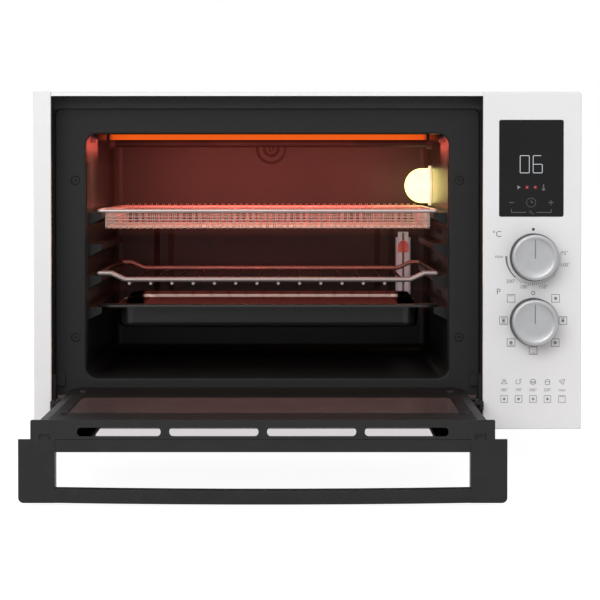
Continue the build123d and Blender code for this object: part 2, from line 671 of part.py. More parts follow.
def make_front_frame():
    """The black sheet round the oven's mouth, with a raised field and folded returns."""
    x0, x1 = BAY_LEFT, BAY_RIGHT
    band_y = FRAME_Y + FRAME_STEP
    sheet = block(
        x0 - FRAME_SHEET, x1 + FRAME_SHEET, band_y, FRAME_BACK_Y, BASE_TOP, BAY_TOP + FRAME_SHEET
    )
    field_top = BAY_TOP - FRAME_BAND_HEIGHT
    field = block(x0 + 0.8, x1 - 0.8, FRAME_Y, FRAME_BACK_Y, BASE_TOP, field_top)
    field = fillet(field.edges().filter_by(Axis.Y).group_by(Axis.Z)[-1], FRAME_FIELD_RADIUS)
    front = field.faces().sort_by(Axis.Y)[0]
    rim = [e for e in front.edges() if e.center().Z > BASE_TOP + 1]
    field = fillet(rim, FRAME_STEP_ROUND)
    hollow = rounded_slab(
        x0 + 4, x1 - 4, FRAME_Y + FRAME_SHEET, FRAME_BACK_Y + 1, BASE_TOP + 4, field_top - 4, 6
    )
    collar = rounded_slab(
        LINER_LEFT - 6, LINER_RIGHT + 6, FRAME_Y, FRAME_BACK_Y,
        OPENING_BOTTOM - 6, OPENING_TOP + 6, OPENING_RADIUS + 6,
    )
    bosses = [
        rod((x, FRAME_Y, z), (x, FRAME_BACK_Y, z), FRAME_SCREW_RADIUS + 2)
        for x, y, z in frame_screw_points()
    ]
    hollow = cut_all(hollow, [collar] + bosses)
    returns = [
        block(x0 - FRAME_SHEET, x0, PANEL_BACK_Y, band_y, BASE_TOP, BAY_TOP + FRAME_SHEET),
        block(x1, x1 + FRAME_SHEET, PANEL_BACK_Y, band_y, BASE_TOP, BAY_TOP + FRAME_SHEET),
        block(
            x0, x1, FRONT_Y + TOP_LIP_SETBACK + TOP_LIP_HEIGHT, band_y, BAY_TOP, BAY_TOP + FRAME_SHEET
        ),
    ]
    opening = rounded_slab(
        LINER_LEFT, LINER_RIGHT, FRAME_Y - 1, FRAME_BACK_Y + 1, OPENING_BOTTOM, OPENING_TOP,
        OPENING_RADIUS,
    )
    frame = sheet + field - hollow - opening
    mouth = [
        e for e in frame.edges().group_by(Axis.Y)[0]
        if LINER_LEFT - 1 < e.center().X < LINER_RIGHT + 1
        and OPENING_BOTTOM - 1 < e.center().Z < OPENING_TOP + 1
    ]
    frame = fillet(mouth, OPENING_EDGE_ROUND)
    frame = joined([frame] + returns)
    plugs = [
        rod((x, FRAME_Y - 1, z), (x, FRAME_Y + 1.2, z), FRAME_SCREW_RADIUS)
        for x, y, z in frame_screw_points()
    ]
    shanks = [
        rod((x, FRAME_Y, z), (x, FRAME_BACK_Y + 1, z), SCREW_RADIUS + SCREW_HOLE_GAP)
        for x, y, z in frame_screw_points()
    ]
    return cut_all(frame, plugs + shanks)


def make_frame_screws():
    """Four flush round-headed screws in the black frame."""
    screws = []
    for x, y, z in frame_screw_points():
        head = rod((x, y + 0.3, z), (x, y + 1.2, z), FRAME_SCREW_RADIUS - 0.35)
        head += rod((x, y + 1.2, z), (x, FRAME_BACK_Y + 3, z), SCREW_RADIUS)
        drive = block(x - 1.6, x + 1.6, y, y + 0.9, z - 0.4, z + 0.4)
        drive += block(x - 0.4, x + 0.4, y, y + 0.9, z - 1.6, z + 1.6)
        screws.append(head - drive)
    return Compound(screws)


def liner_form(grow, front_y):
    """The drawn cavity shape: rounded along its length and at its back."""
    form = block(
        LINER_LEFT - grow, LINER_RIGHT + grow, front_y, LINER_BACK_Y + grow,
        OPENING_BOTTOM - grow, CEILING + grow,
    )
    form = fillet(form.edges().filter_by(Axis.Y), OPENING_RADIUS + grow)
    back = form.faces().sort_by(Axis.Y)[-1]
    return fillet(back.edges(), LINER_BACK_RADIUS + grow)


def wall_holes(x0, x1):
    """Round holes through a side wall for heater ends, between two sideways places."""
    holes = []
    for y, z, radius in top_heater_axes():
        holes.append(rod((x0, y, z), (x1, y, z), radius + COLLAR_GAP + COLLAR_THICKNESS))
    return holes


def top_heater_axes():
    """Place and radius of the grill tube and of the tube behind it, under the ceiling."""
    return [
        (FRAME_Y + GRILL_SETBACK, CEILING - GRILL_DROP, GRILL_TUBE_RADIUS),
        (LINER_BACK_Y - TOP_TUBE_REAR_GAP, CEILING - TOP_TUBE_DROP, TOP_TUBE_RADIUS),
    ]


def bottom_heater_axes():
    """Place and radius of the two tubes that hang below the liner's floor."""
    z = OPENING_BOTTOM - LINER_SHEET - BOTTOM_TUBE_DROP
    return [
        (y, z, BOTTOM_TUBE_RADIUS)
        for y in (FRAME_Y + BOTTOM_TUBE_SETBACK, LINER_BACK_Y - BOTTOM_TUBE_REAR_GAP)
    ]


def intake_holes(x0, x1):
    """Rows of small holes between the rails, in front of the fan."""
    holes = []
    for top in RAIL_TOPS[:-1]:
        z = top + RAIL_PITCH * 0.3
        for n in range(INTAKE_HOLE_COUNT):
            y = FAN_Y + (n - (INTAKE_HOLE_COUNT - 1) / 2) * INTAKE_HOLE_PITCH
            holes.append(rod((x0, y, z), (x1, y, z), INTAKE_HOLE_RADIUS))
    return holes


def lamp_hole(x0, x1):
    """The hole that the lamp holder comes through."""
    return rod((x0, LAMP_Y, LAMP_Z), (x1, LAMP_Y, LAMP_Z), LAMP_RADIUS - LAMP_GLASS)


def make_bead():
    """A sloped-sided bead pressed round the back wall, as an upright rectangle."""
    x0, x1 = LINER_LEFT + BEAD_MARGIN + BEAD_OFFSET, LINER_RIGHT - BEAD_MARGIN + BEAD_OFFSET
    z0, z1 = OPENING_BOTTOM + BEAD_BOTTOM, OPENING_BOTTOM + BEAD_TOP
    wall = Plane(origin=((x0 + x1) / 2, LINER_BACK_Y, (z0 + z1) / 2), z_dir=(0, -1, 0), x_dir=(1, 0, 0))
    inset = 2 * BEAD_WIDTH
    outside = wall * RectangleRounded(x1 - x0, z1 - z0, BEAD_RADIUS + BEAD_WIDTH)
    inside = wall * RectangleRounded(x1 - x0 - inset, z1 - z0 - inset, BEAD_RADIUS)
    raised = extrude(outside, BEAD_HEIGHT, taper=BEAD_SLOPE)
    return raised - extrude(inside, BEAD_HEIGHT, taper=-BEAD_SLOPE)


def make_rings():
    """A round step pressed into the back wall under the ceiling, with a nub in its middle."""
    slope, high = RING_SLOPE_WIDTH, RING_HEIGHT
    inner, outer, nub = RING_INNER_RADIUS, RING_OUTER_RADIUS, RING_NUB_RADIUS
    step = [(inner, 0), (inner + slope, -high), (outer - slope, -high), (outer, 0)]
    middle = [(0, 0), (0, -high / 2), (nub / 2, -high / 2), (nub, 0)]
    place = Pos(BAY_CENTRE, LINER_BACK_Y, CEILING - RING_DROP)
    flat = block(
        BAY_CENTRE - 2 * outer, BAY_CENTRE + 2 * outer, LINER_BACK_Y - 2 * high, LINER_BACK_Y + high,
        CEILING - RING_DROP - 2 * outer, CEILING - LINER_BACK_RADIUS,
    )
    turned = [revolve(make_face(Polyline(*outline, close=True)), Axis.Y) for outline in (step, middle)]
    return [(place * form) & flat for form in turned]


def make_oven_liner():
    """The steel box that things are cooked in, with a bead and rings pressed into its back."""
    shell = liner_form(LINER_SHEET, FRAME_BACK_Y) - liner_form(0.0, FRAME_BACK_Y - 50)
    flange = rounded_slab(
        LINER_LEFT - LINER_FLANGE, LINER_RIGHT + LINER_FLANGE, FRAME_BACK_Y,
        FRAME_BACK_Y + LINER_SHEET, OPENING_BOTTOM - LINER_FLANGE, CEILING + LINER_FLANGE,
        OPENING_RADIUS + LINER_FLANGE,
    )
    flange -= liner_form(0.0, FRAME_BACK_Y - 50)
    wide = FRAME_SCREW_INSET + FRAME_SCREW_RADIUS
    for x, y, z in frame_screw_points():
        side = LINER_LEFT if x < BAY_CENTRE else LINER_RIGHT
        a, b = sorted((side, side + math.copysign(wide, x - BAY_CENTRE)))
        ear = block(a, b, FRAME_BACK_Y, FRAME_BACK_Y + LINER_SHEET, z - 7, z + 7)
        ear -= liner_form(0.0, FRAME_BACK_Y - 50)
        ear -= rod((x, y, z), (x, FRAME_BACK_Y + 5, z), SCREW_RADIUS + SCREW_HOLE_GAP)
        flange = flange + ear
        flange -= rod((x, y, z), (x, FRAME_BACK_Y + 5, z), SCREW_RADIUS + SCREW_HOLE_GAP)
    liner = joined([shell, flange, make_bead()] + make_rings())
    reach = OPENING_RADIUS
    cuts = wall_holes(LINER_LEFT - reach, LINER_LEFT + reach)
    cuts += wall_holes(LINER_RIGHT - reach, LINER_RIGHT + reach)
    cuts += intake_holes(LINER_RIGHT - 5, LINER_RIGHT + 5)
    cuts.append(lamp_hole(LINER_RIGHT - 5, LINER_RIGHT + 5))
    cuts.append(
        rod((SENSOR_X, LINER_BACK_Y - 8, sensor_top()), (SENSOR_X, LINER_BACK_Y + 5, sensor_top()),
            SENSOR_RADIUS + 0.1)
    )
    return cut_all(liner, cuts)


def make_side_liner(side):
    """One wall of shelf rails; side is -1 on the left and 1 on the right."""
    wall = LINER_LEFT if side < 0 else LINER_RIGHT
    inward = -side
    y0, y1 = FRAME_BACK_Y + SIDE_LINER_MARGIN, LINER_BACK_Y - LINER_BACK_RADIUS - SIDE_LINER_MARGIN
    z0, z1 = OPENING_BOTTOM + SIDE_LINER_RISE, CEILING - SIDE_LINER_DROP
    a, b = sorted((wall, wall + inward * RAIL_SHEET))
    panel = block(a, b, y0, y1, z0, z1)
    rail_y0, rail_y1 = y0 + RAIL_END_MARGIN, y1 - RAIL_END_MARGIN
    outers, inners = [], []
    for top in RAIL_TOPS:
        reach = wall + inward * RAIL_DEPTH
        low = top - RAIL_BASE_HEIGHT
        outer = Polyline(
            (wall, 0, top), (reach, 0, top), (reach, 0, top - RAIL_TIP_HEIGHT), (wall, 0, low),
            close=True,
        )
        thin = RAIL_SHEET
        inner = Polyline(
            (wall - inward, 0, top - thin), (reach - inward * thin, 0, top - thin),
            (reach - inward * thin, 0, top - RAIL_TIP_HEIGHT + thin / 2),
            (wall - inward, 0, low + thin * 1.3), close=True,
        )
        outers.append(extrude(Pos(0, rail_y0, 0) * make_face(outer), rail_y1 - rail_y0, dir=(0, 1, 0)))
        inners.append(
            extrude(Pos(0, rail_y0 + thin, 0) * make_face(inner), rail_y1 - rail_y0 - 2 * thin, dir=(0, 1, 0))
        )
    liner = cut_all(joined([panel] + outers), inners)
    if side > 0:
        liner = cut_all(liner, intake_holes(wall - 2, wall + 2) + [lamp_hole(wall - 2, wall + 2)])
    return cut_all(liner, wall_holes(wall - 2, wall + 2))


def make_insulation():
    """A mineral wool mat over the left side and the top of the liner."""
    y0, y1 = FRAME_BACK_Y + SIDE_LINER_MARGIN, LINER_BACK_Y - LINER_BACK_RADIUS
    thick = INSULATION_THICKNESS
    left = LINER_LEFT - LINER_SHEET
    top = CEILING + LINER_SHEET
    curve = OPENING_RADIUS + LINER_SHEET
    mat = block(left - thick, left, y0, y1, OPENING_BOTTOM + curve, top + thick)
    mat += block(left - thick, LINER_RIGHT - curve, y0, y1, top, top + thick)
    mat += block(left - thick, left + curve, y0, y1, top - curve, top + thick)
    mat -= liner_form(LINER_SHEET, FRAME_BACK_Y)
    for y, z, radius in top_heater_axes():
        mat -= rod((left - thick - 5, y, z), (left + curve, y, z), radius + COLLAR_THICKNESS + 4)
    return mat


def make_heat_shield():
    """The upright sheet between the hot box and the controls."""
    shield = block(
        SHIELD_X, SHIELD_X + SHIELD_SHEET, FRAME_BACK_Y, BACK_Y - 2 * CASE_SHEET,
        BASE_TOP, CASE_TOP - CASE_SHEET,
    )
    hole = rod((SHIELD_X - 1, FAN_Y, FAN_Z), (SHIELD_X + 3, FAN_Y, FAN_Z), FAN_SHAFT_RADIUS + 2)
    return shield - hole


# Heaters


def heater_tube(y, z, radius, reach):
    """One straight heater that reaches past the side walls, with a terminal at each end."""
    x0, x1 = LINER_LEFT - reach, LINER_RIGHT + reach
    bar = rod((x0, y, z), (x1, y, z), radius)
    return bar + rod((x0 - TERMINAL_LENGTH, y, z), (x1 + TERMINAL_LENGTH, y, z), TERMINAL_RADIUS)


def make_heater_collars():
    """Collars where the top heaters go through the walls."""
    collars = []
    for y, z, radius in top_heater_axes():
        for wall, inward in ((LINER_LEFT, 1), (LINER_RIGHT, -1)):
            outside = wall - inward * COLLAR_LENGTH
            inside = wall + inward * COLLAR_LENGTH * 0.7
            collars.append(
                tube((outside, y, z), (inside, y, z), radius + COLLAR_GAP + COLLAR_THICKNESS,
                     radius + COLLAR_GAP / 2)
            )
    return Compound(collars)


def make_heater_clips():
    """Plates that hold the grill heater's ends, and straps round the tubes below the floor."""
    y, z, radius = top_heater_axes()[0]
    clips = []
    for x in (LINER_LEFT + CLIP_INSET, LINER_RIGHT - CLIP_INSET):
        clip = block(x - CLIP_THICKNESS / 2, x + CLIP_THICKNESS / 2, y - CLIP_WIDTH / 2,
                     y + CLIP_WIDTH / 2, z - radius - 1.2, CEILING)
        clips.append(clip - rod((x - 5, y, z), (x + 5, y, z), radius + COLLAR_GAP / 2))
    for y, z, radius in bottom_heater_axes():
        for x in (LINER_LEFT + BOTTOM_CLIP_INSET, LINER_RIGHT - BOTTOM_CLIP_INSET):
            strap = block(
                x - CLIP_WIDTH / 2, x + CLIP_WIDTH / 2, y - CLIP_WIDTH / 2, y + CLIP_WIDTH / 2,
                z - radius - 1.2, OPENING_BOTTOM - LINER_SHEET,
            )
            clips.append(strap - rod((x - 9, y, z), (x + 9, y, z), radius + COLLAR_GAP / 2))
    return Compound(clips)


# Lamp and sensor


def make_lamp():
    """The lamp's holder, bulb, glass dome and retaining ring."""
    face = SIDE_LINER_RIGHT
    centre = (LAMP_Y, LAMP_Z)
    inner = LAMP_RADIUS - LAMP_GLASS

    def dome(radius, length, start):
        bend = length - radius
        profile = make_face(
            Line((start, 0), (start, radius))
            + Line((start, radius), (-bend, radius))
            + CenterArc((-bend, 0), radius, 90, 90)
            + Line((-length, 0), (start, 0))
        )
        return Pos(face, *centre) * revolve(profile, Axis.X)

    glass = dome(LAMP_RADIUS, LAMP_LENGTH, 0) - dome(inner, LAMP_LENGTH - LAMP_GLASS, 1)
    ring = tube((face, *centre), (face - LAMP_RING_THICKNESS, *centre), LAMP_RING_RADIUS, LAMP_RADIUS)
    back = face + LAMP_HOLDER_LENGTH
    holder = tube((face, *centre), (back, *centre), inner, inner - LAMP_HOLDER_WALL)
    holder += rod((back - 3, *centre), (back, *centre), inner)
    holder += tube((back - 14, *centre), (back, *centre), BULB_BASE_RADIUS + 2, BULB_BASE_RADIUS)
    tip, neck = 4 + BULB_RADIUS, BULB_BASE_RADIUS - 1
    shoulder = (BULB_RADIUS**2 - neck**2) ** 0.5 - 4
    outline = make_face(
        Polyline((shoulder, neck), (LAMP_HOLDER_LENGTH - 12, neck),
                 (LAMP_HOLDER_LENGTH - 12, BULB_BASE_RADIUS), (LAMP_HOLDER_LENGTH - 3, BULB_BASE_RADIUS),
                 (LAMP_HOLDER_LENGTH - 3, 0), (-tip, 0))
        + ThreePointArc((-tip, 0), (-4, BULB_RADIUS), (shoulder, neck))
    )
    bulb = Pos(face, *centre) * revolve(outline, Axis.X)
    return holder, bulb, glass, ring


def sensor_top():
    """The height at which the sensor goes through the back wall."""
    return OPENING_BOTTOM + SENSOR_GUARD_TOP - SENSOR_GUARD_NECK / 2


def make_sensor_guard():
    """A bright folded guard with a slot down its front and an arched window near its top."""
    x = SENSOR_X
    z1 = OPENING_BOTTOM + SENSOR_GUARD_TOP
    z0 = z1 - SENSOR_GUARD_LENGTH
    shoulder = z1 - SENSOR_GUARD_NECK
    half, thin = SENSOR_GUARD_WIDTH / 2, SENSOR_GUARD_SHEET
    y0, y1 = LINER_BACK_Y - SENSOR_GUARD_DEPTH, LINER_BACK_Y
    neck = half - 2.5
    guard = block(x - half, x + half, y0, y1, z0, shoulder)
    guard = fillet(guard.edges().filter_by(Axis.Z).group_by(Axis.Y)[0], 2.5)
    guard += block(x - neck, x + neck, y0 + 1, y1, shoulder, z1)
    guard -= block(x - half + thin, x + half - thin, y0 + thin, y1 + 1, z0 - 1, shoulder - thin)
    guard -= block(x - neck + thin, x + neck - thin, y0 + 1 + thin, y1 + 1, z0, z1 - thin)
    slot, arch = SENSOR_SLOT / 2, SENSOR_WINDOW_WIDTH / 2
    guard -= block(x - slot, x + slot, y0 - 1, y0 + 4, z0 - 1, z1 + 1)
    spring = z1 - SENSOR_WINDOW_DROP - arch
    sill = z1 - SENSOR_WINDOW_DROP - SENSOR_WINDOW_HEIGHT
    guard -= block(x - arch, x + arch, y0 - 1, y0 + 1.5, sill, spring)
    return guard - rod((x, y0 - 1, spring), (x, y0 + 1.5, spring), arch)


def make_sensor_bulb():
    """The thermostat's thin bulb, standing behind the guard."""
    x = SENSOR_X
    y = LINER_BACK_Y - SENSOR_GUARD_DEPTH / 2
    z0 = OPENING_BOTTOM + SENSOR_GUARD_TOP - SENSOR_GUARD_LENGTH + 4
    path = [(x, y, z0), (x, y, sensor_top()), (x, LINER_BACK_Y + 12, sensor_top())]
    return bent_rod(path, SENSOR_RADIUS * 1.5, SENSOR_RADIUS)


# Fan


def make_fan():
    """The convection fan's housing, its wheel on a shaft, and the motor."""
    back = LINER_WALL_X
    size = FAN_RADIUS + FAN_HOUSING_MARGIN
    deep = FAN_HOUSING_DEPTH
    housing = block(back, back + deep, FAN_Y - size, FAN_Y + size, FAN_Z - size, FAN_Z + size)
    inside = size - 1
    housing -= block(
        back - 1, back + deep - 1, FAN_Y - inside, FAN_Y + inside, FAN_Z - inside, FAN_Z + inside
    )
    centre = (FAN_Y, FAN_Z)
    housing -= rod((back, *centre), (back + deep + 1, *centre), FAN_SHAFT_RADIUS + 2)
    x0 = back + FAN_GAP
    x1 = x0 + FAN_WIDTH
    wheel = rod((x1 - 1.5, *centre), (x1, *centre), FAN_RADIUS)
    wheel += rod((x0 + 2, *centre), (x1 + 2, *centre), FAN_HUB_RADIUS)
    blade = block(
        x0, x1, FAN_Y + FAN_HUB_RADIUS - 1, FAN_Y + FAN_RADIUS,
        FAN_Z - FAN_BLADE_THICKNESS / 2, FAN_Z + FAN_BLADE_THICKNESS / 2,
    )
    axis = Axis((0, *centre), (1, 0, 0))
    for n in range(FAN_BLADES):
        wheel += blade.rotate(axis, 360 * n / FAN_BLADES)
    motor_x = SHIELD_X + SHIELD_SHEET
    wheel += rod((x0 + 2, *centre), (motor_x + MOTOR_LENGTH / 2, *centre), FAN_SHAFT_RADIUS)
    motor = rod((motor_x, *centre), (motor_x + MOTOR_LENGTH, *centre), MOTOR_RADIUS)
    motor += block(
        motor_x, motor_x + 2, FAN_Y - MOTOR_RADIUS - 6, FAN_Y + MOTOR_RADIUS + 6, FAN_Z - 8, FAN_Z + 8
    )
    motor -= rod((motor_x - 1, *centre), (motor_x + MOTOR_LENGTH / 2 + 2, *centre),
                 FAN_SHAFT_RADIUS + PIN_FIT)
    return housing, wheel, motor


# Control panel and controls


def make_control_panel():
    """The white moulded panel right of the door, with a lip behind it."""
    x0, x1 = BAY_RIGHT, CASE_RIGHT
    panel = block(x0, x1, FRONT_Y, PANEL_BACK_Y, CASE_BOTTOM, CASE_TOP)
    panel = fillet(panel.edges().filter_by(Axis.Y).group_by(Axis.Z)[0], PANEL_CORNER_RADIUS)
    panel = fillet(
        panel.edges().filter_by(Axis.Y).group_by(Axis.Z)[-1].sort_by(Axis.X)[-1], CASE_CORNER_RADIUS
    )
    front = panel.faces().sort_by(Axis.Y)[0]
    panel = fillet(front.edges(), PANEL_EDGE_ROUND)
    lip_x0, lip_x1 = x0 + FRAME_SHEET, x1 - CASE_SHEET
    lip_z0, lip_z1 = BASE_TOP + 2, CASE_TOP - CASE_SHEET
    thin = PANEL_LIP_THICKNESS
    lip_back = PANEL_BACK_Y + PANEL_LIP_DEPTH
    lip = block(lip_x0, lip_x1, PANEL_BACK_Y, lip_back, lip_z0, lip_z1 - 3)
    lip -= block(
        lip_x0 + thin, lip_x1 - thin, PANEL_BACK_Y - 1, lip_back + 1, lip_z0 + thin, lip_z1 - 3 - thin
    )
    panel += lip
    half_w = WINDOW_WIDTH / 2
    ledge = WINDOW_LEDGE
    cuts = [
        rounded_slab(
            WINDOW_X - half_w, WINDOW_X + half_w, FRONT_Y - 1, FRONT_Y + WINDOW_THICKNESS,
            WINDOW_BOTTOM, WINDOW_TOP, WINDOW_CORNER_RADIUS,
        ),
        block(
            WINDOW_X - half_w + ledge, WINDOW_X + half_w - ledge, FRONT_Y - 1, PANEL_BACK_Y + 1,
            WINDOW_BOTTOM + ledge, WINDOW_TOP - ledge,
        ),
    ]
    for z in KNOB_HEIGHTS:
        cuts.append(
            rod((KNOB_X, FRONT_Y - 1, z), (KNOB_X, PANEL_BACK_Y + 1, z),
                SHAFT_RADIUS + SHAFT_HOLE_GAP)
        )
    cuts += [screw_hole(p, (0, 1, 0)) for p in control_screw_points()]
    posts = []
    for s in MIRRORED:
        for z in (WINDOW_BOTTOM + ledge / 2, WINDOW_TOP - ledge / 2):
            x = WINDOW_X + s * (half_w - ledge / 2)
            posts.append(rod((x, PANEL_BACK_Y, z), (x, PANEL_BACK_Y + BOARD_STANDOFF, z), ledge / 2))
    return joined([cut_all(panel, cuts)] + posts)


def make_display():
    """The dark display window and the circuit board behind it."""
    half_w = WINDOW_WIDTH / 2
    gap = 0.1
    window = rounded_slab(
        WINDOW_X - half_w + gap, WINDOW_X + half_w - gap, FRONT_Y, FRONT_Y + WINDOW_THICKNESS,
        WINDOW_BOTTOM + gap, WINDOW_TOP - gap, WINDOW_CORNER_RADIUS,
    )
    board_y = PANEL_BACK_Y + BOARD_STANDOFF
    wide = half_w + BOARD_MARGIN
    board = block(
        WINDOW_X - wide, WINDOW_X + wide, board_y, board_y + BOARD_THICKNESS,
        WINDOW_BOTTOM - BOARD_MARGIN, WINDOW_TOP + BOARD_MARGIN,
    )
    board += block(
        WINDOW_X - DISPLAY_WIDTH / 2, WINDOW_X + DISPLAY_WIDTH / 2, FRONT_Y + WINDOW_THICKNESS,
        board_y, WINDOW_Z - DISPLAY_HEIGHT / 2, WINDOW_Z + DISPLAY_HEIGHT / 2,
    )
    return window, board


def make_control_body(z):
    """A rotary control fixed behind the panel, with a bearing hole for its shaft."""
    half_w, half_h = CONTROL_BODY_WIDTH / 2, CONTROL_BODY_HEIGHT / 2
    y1 = PANEL_BACK_Y + CONTROL_BODY_DEPTH
    body = block(KNOB_X - half_w, KNOB_X + half_w, PANEL_BACK_Y, y1, z - half_h, z + half_h)
    body = chamfer(body.faces().sort_by(Axis.Y)[-1].edges(), 3)
    body += block(KNOB_X - 12, KNOB_X - 9, y1, y1 + 7, z - 3, z + 3)
    body += block(KNOB_X + 9, KNOB_X + 12, y1, y1 + 7, z - 3, z + 3)
    body -= rod((KNOB_X, PANEL_BACK_Y - 1, z), (KNOB_X, PANEL_BACK_Y + 13, z), SHAFT_RADIUS + PIN_FIT)
    holes = [
        rod((x, PANEL_BACK_Y - 1, pz), (x, FRONT_Y + SCREW_LENGTH + 1, pz), SCREW_RADIUS)
        for x, y, pz in control_screw_points() if pz == z
    ]
    return cut_all(body, holes)


def make_knob(z):
    """A hollow black knob with a silver cap, and the shaft it is pressed on."""
    y_low = FRONT_Y - KNOB_PANEL_GAP
    y_cap = FRONT_Y - KNOB_HEIGHT + KNOB_CAP_HEIGHT
    y_top = FRONT_Y - KNOB_HEIGHT
    skirt = rod((KNOB_X, y_low, z), (KNOB_X, y_cap, z), KNOB_RADIUS)
    hollow = tube(
        (KNOB_X, y_low + 1, z), (KNOB_X, y_cap + KNOB_WALL, z), KNOB_RADIUS - KNOB_WALL,
        KNOB_HUB_RADIUS,
    )
    skirt -= hollow
    shaft_top = y_cap + KNOB_WALL
    shaft = rod((KNOB_X, shaft_top, z), (KNOB_X, PANEL_BACK_Y + 12, z), SHAFT_RADIUS)
    flat = block(
        KNOB_X - 5, KNOB_X + 5, shaft_top - 1, FRONT_Y - 3,
        z + SHAFT_RADIUS - SHAFT_FLAT, z + SHAFT_RADIUS + 1,
    )
    shaft -= flat
    skirt -= rod((KNOB_X, shaft_top, z), (KNOB_X, FRONT_Y + 1, z), SHAFT_RADIUS) - flat
    cap = rod((KNOB_X, y_cap, z), (KNOB_X, y_top, z), KNOB_RADIUS - KNOB_CAP_INSET)
    cap = chamfer(cap.edges().group_by(Axis.Y)[0], KNOB_CAP_BEVEL)
    line = block(
        KNOB_X - 0.4, KNOB_X + 0.4, y_top - 1, y_top + 0.4, z,
        z + KNOB_RADIUS - KNOB_CAP_INSET - KNOB_CAP_BEVEL - 2,
    )
    return skirt, cap - line, shaft


# Door, built open


def door_block(x0, x1, low, high, outer, inner):
    """A box in the open door: low and high from the pivot, outer and inner from the face."""
    return block(
        x0, x1, PIVOT_Y - high, PIVOT_Y - low, DOOR_FACE_Z - inner, DOOR_FACE_Z - outer
    )


def door_slab(x0, x1, low, high, outer, inner, radius):
    """A door box with its four corners rounded in the door's plane."""
    slab = door_block(x0, x1, low, high, outer, inner)
    return fillet(slab.edges().filter_by(Axis.Z), radius)


def pan_form(shrink):
    """The inner panel's bevelled section, run from the tail to the trim."""
    half = DOOR_BOX_WIDTH / 2 - DOOR_PAN_INSET - shrink
    flat = half - DOOR_BEVEL_WIDTH
    top = DOOR_FACE_Z - shrink
    edge = top - DOOR_BEVEL_DROP
    floor = DOOR_FACE_Z - DOOR_BOX_THICKNESS - (1 if shrink else 0)
    section = Polyline(
        (BAY_CENTRE - half, 0, floor), (BAY_CENTRE - half, 0, edge), (BAY_CENTRE - flat, 0, top),
        (BAY_CENTRE + flat, 0, top), (BAY_CENTRE + half, 0, edge), (BAY_CENTRE + half, 0, floor),
        close=True,
    )
    high = DOOR_REACH - TRIM_THICKNESS
    low = -DOOR_TAIL
    return extrude(Pos(0, PIVOT_Y - high, 0) * make_face(section), high - low, dir=(0, 1, 0))


def tail_round(radius):
    """What keeps the door's tail inside a circle round the pivot, seen from the side."""
    reach = DOOR_TAIL + 5
    corner = block(
        BAY_CENTRE - DOOR_BOX_WIDTH, BAY_CENTRE + DOOR_BOX_WIDTH, PIVOT_Y, PIVOT_Y + reach,
        PIVOT_Z, DOOR_FACE_Z + 1,
    )
    axis = ((BAY_CENTRE - DOOR_BOX_WIDTH, PIVOT_Y, PIVOT_Z), (BAY_CENTRE + DOOR_BOX_WIDTH, PIVOT_Y, PIVOT_Z))
    return corner - rod(*axis, radius)


def window_cut(grow, outer, inner):
    """The window's outline through part of the door's thickness."""
    half = WINDOW_OPENING_WIDTH / 2 + grow
    return door_slab(
        BAY_CENTRE - half, BAY_CENTRE + half, WINDOW_OPENING_LOW - grow, WINDOW_OPENING_HIGH + grow,
        outer, inner, WINDOW_OPENING_RADIUS + grow,
    )


def door_screw_points():
    """Screws through the inner panel into the side rails."""
    x = WINDOW_OPENING_WIDTH / 2 + DOOR_SCREW_MARGIN
    heights = (DOOR_SCREW_RISE, DOOR_REACH - DOOR_SCREW_RISE)
    return [(BAY_CENTRE + s * x, PIVOT_Y - h, DOOR_FACE_Z) for s in MIRRORED for h in heights]


def make_door_inner_panel():
    """The black bevelled sheet that faces the oven, open for the inner glass."""
    panel = pan_form(0) - pan_form(DOOR_SHEET) - tail_round(PIVOT_INSET)
    skin = rod(
        (BAY_CENTRE - pan_half(), PIVOT_Y, PIVOT_Z), (BAY_CENTRE + pan_half(), PIVOT_Y, PIVOT_Z),
        PIVOT_INSET,
    )
    skin -= rod(
        (BAY_CENTRE - pan_half(), PIVOT_Y, PIVOT_Z), (BAY_CENTRE + pan_half(), PIVOT_Y, PIVOT_Z),
        PIVOT_INSET - DOOR_SHEET,
    )
    skin &= block(
        BAY_CENTRE - pan_half(), BAY_CENTRE + pan_half(), PIVOT_Y, PIVOT_Y + DOOR_TAIL,
        PIVOT_Z, DOOR_FACE_Z,
    )
    skin &= pan_form(0)
    tail = door_block(
        BAY_CENTRE - pan_half(), BAY_CENTRE + pan_half(), -DOOR_TAIL, -DOOR_TAIL + DOOR_SHEET,
        PIVOT_INSET - 7, DOOR_BOX_THICKNESS,
    )
    panel = joined([panel, skin, tail])
    holes = [screw_hole(p, (0, 0, -1)) for p in door_screw_points()]
    holes += [pin_line(side, BUSH_RADIUS) for side in MIRRORED]
    holes += [stop_lug(side, 3, 3) for side in MIRRORED]
    return cut_all(panel, [window_cut(0, -1, 3)] + holes)


def pan_half():
    """Half the inner panel's width."""
    return DOOR_BOX_WIDTH / 2 - DOOR_PAN_INSET


def make_inner_glass():
    """The inner pane, under the edge of the window."""
    return window_cut(INNER_GLASS_OVERLAP, DOOR_SHEET, DOOR_SHEET + INNER_GLASS_THICKNESS)


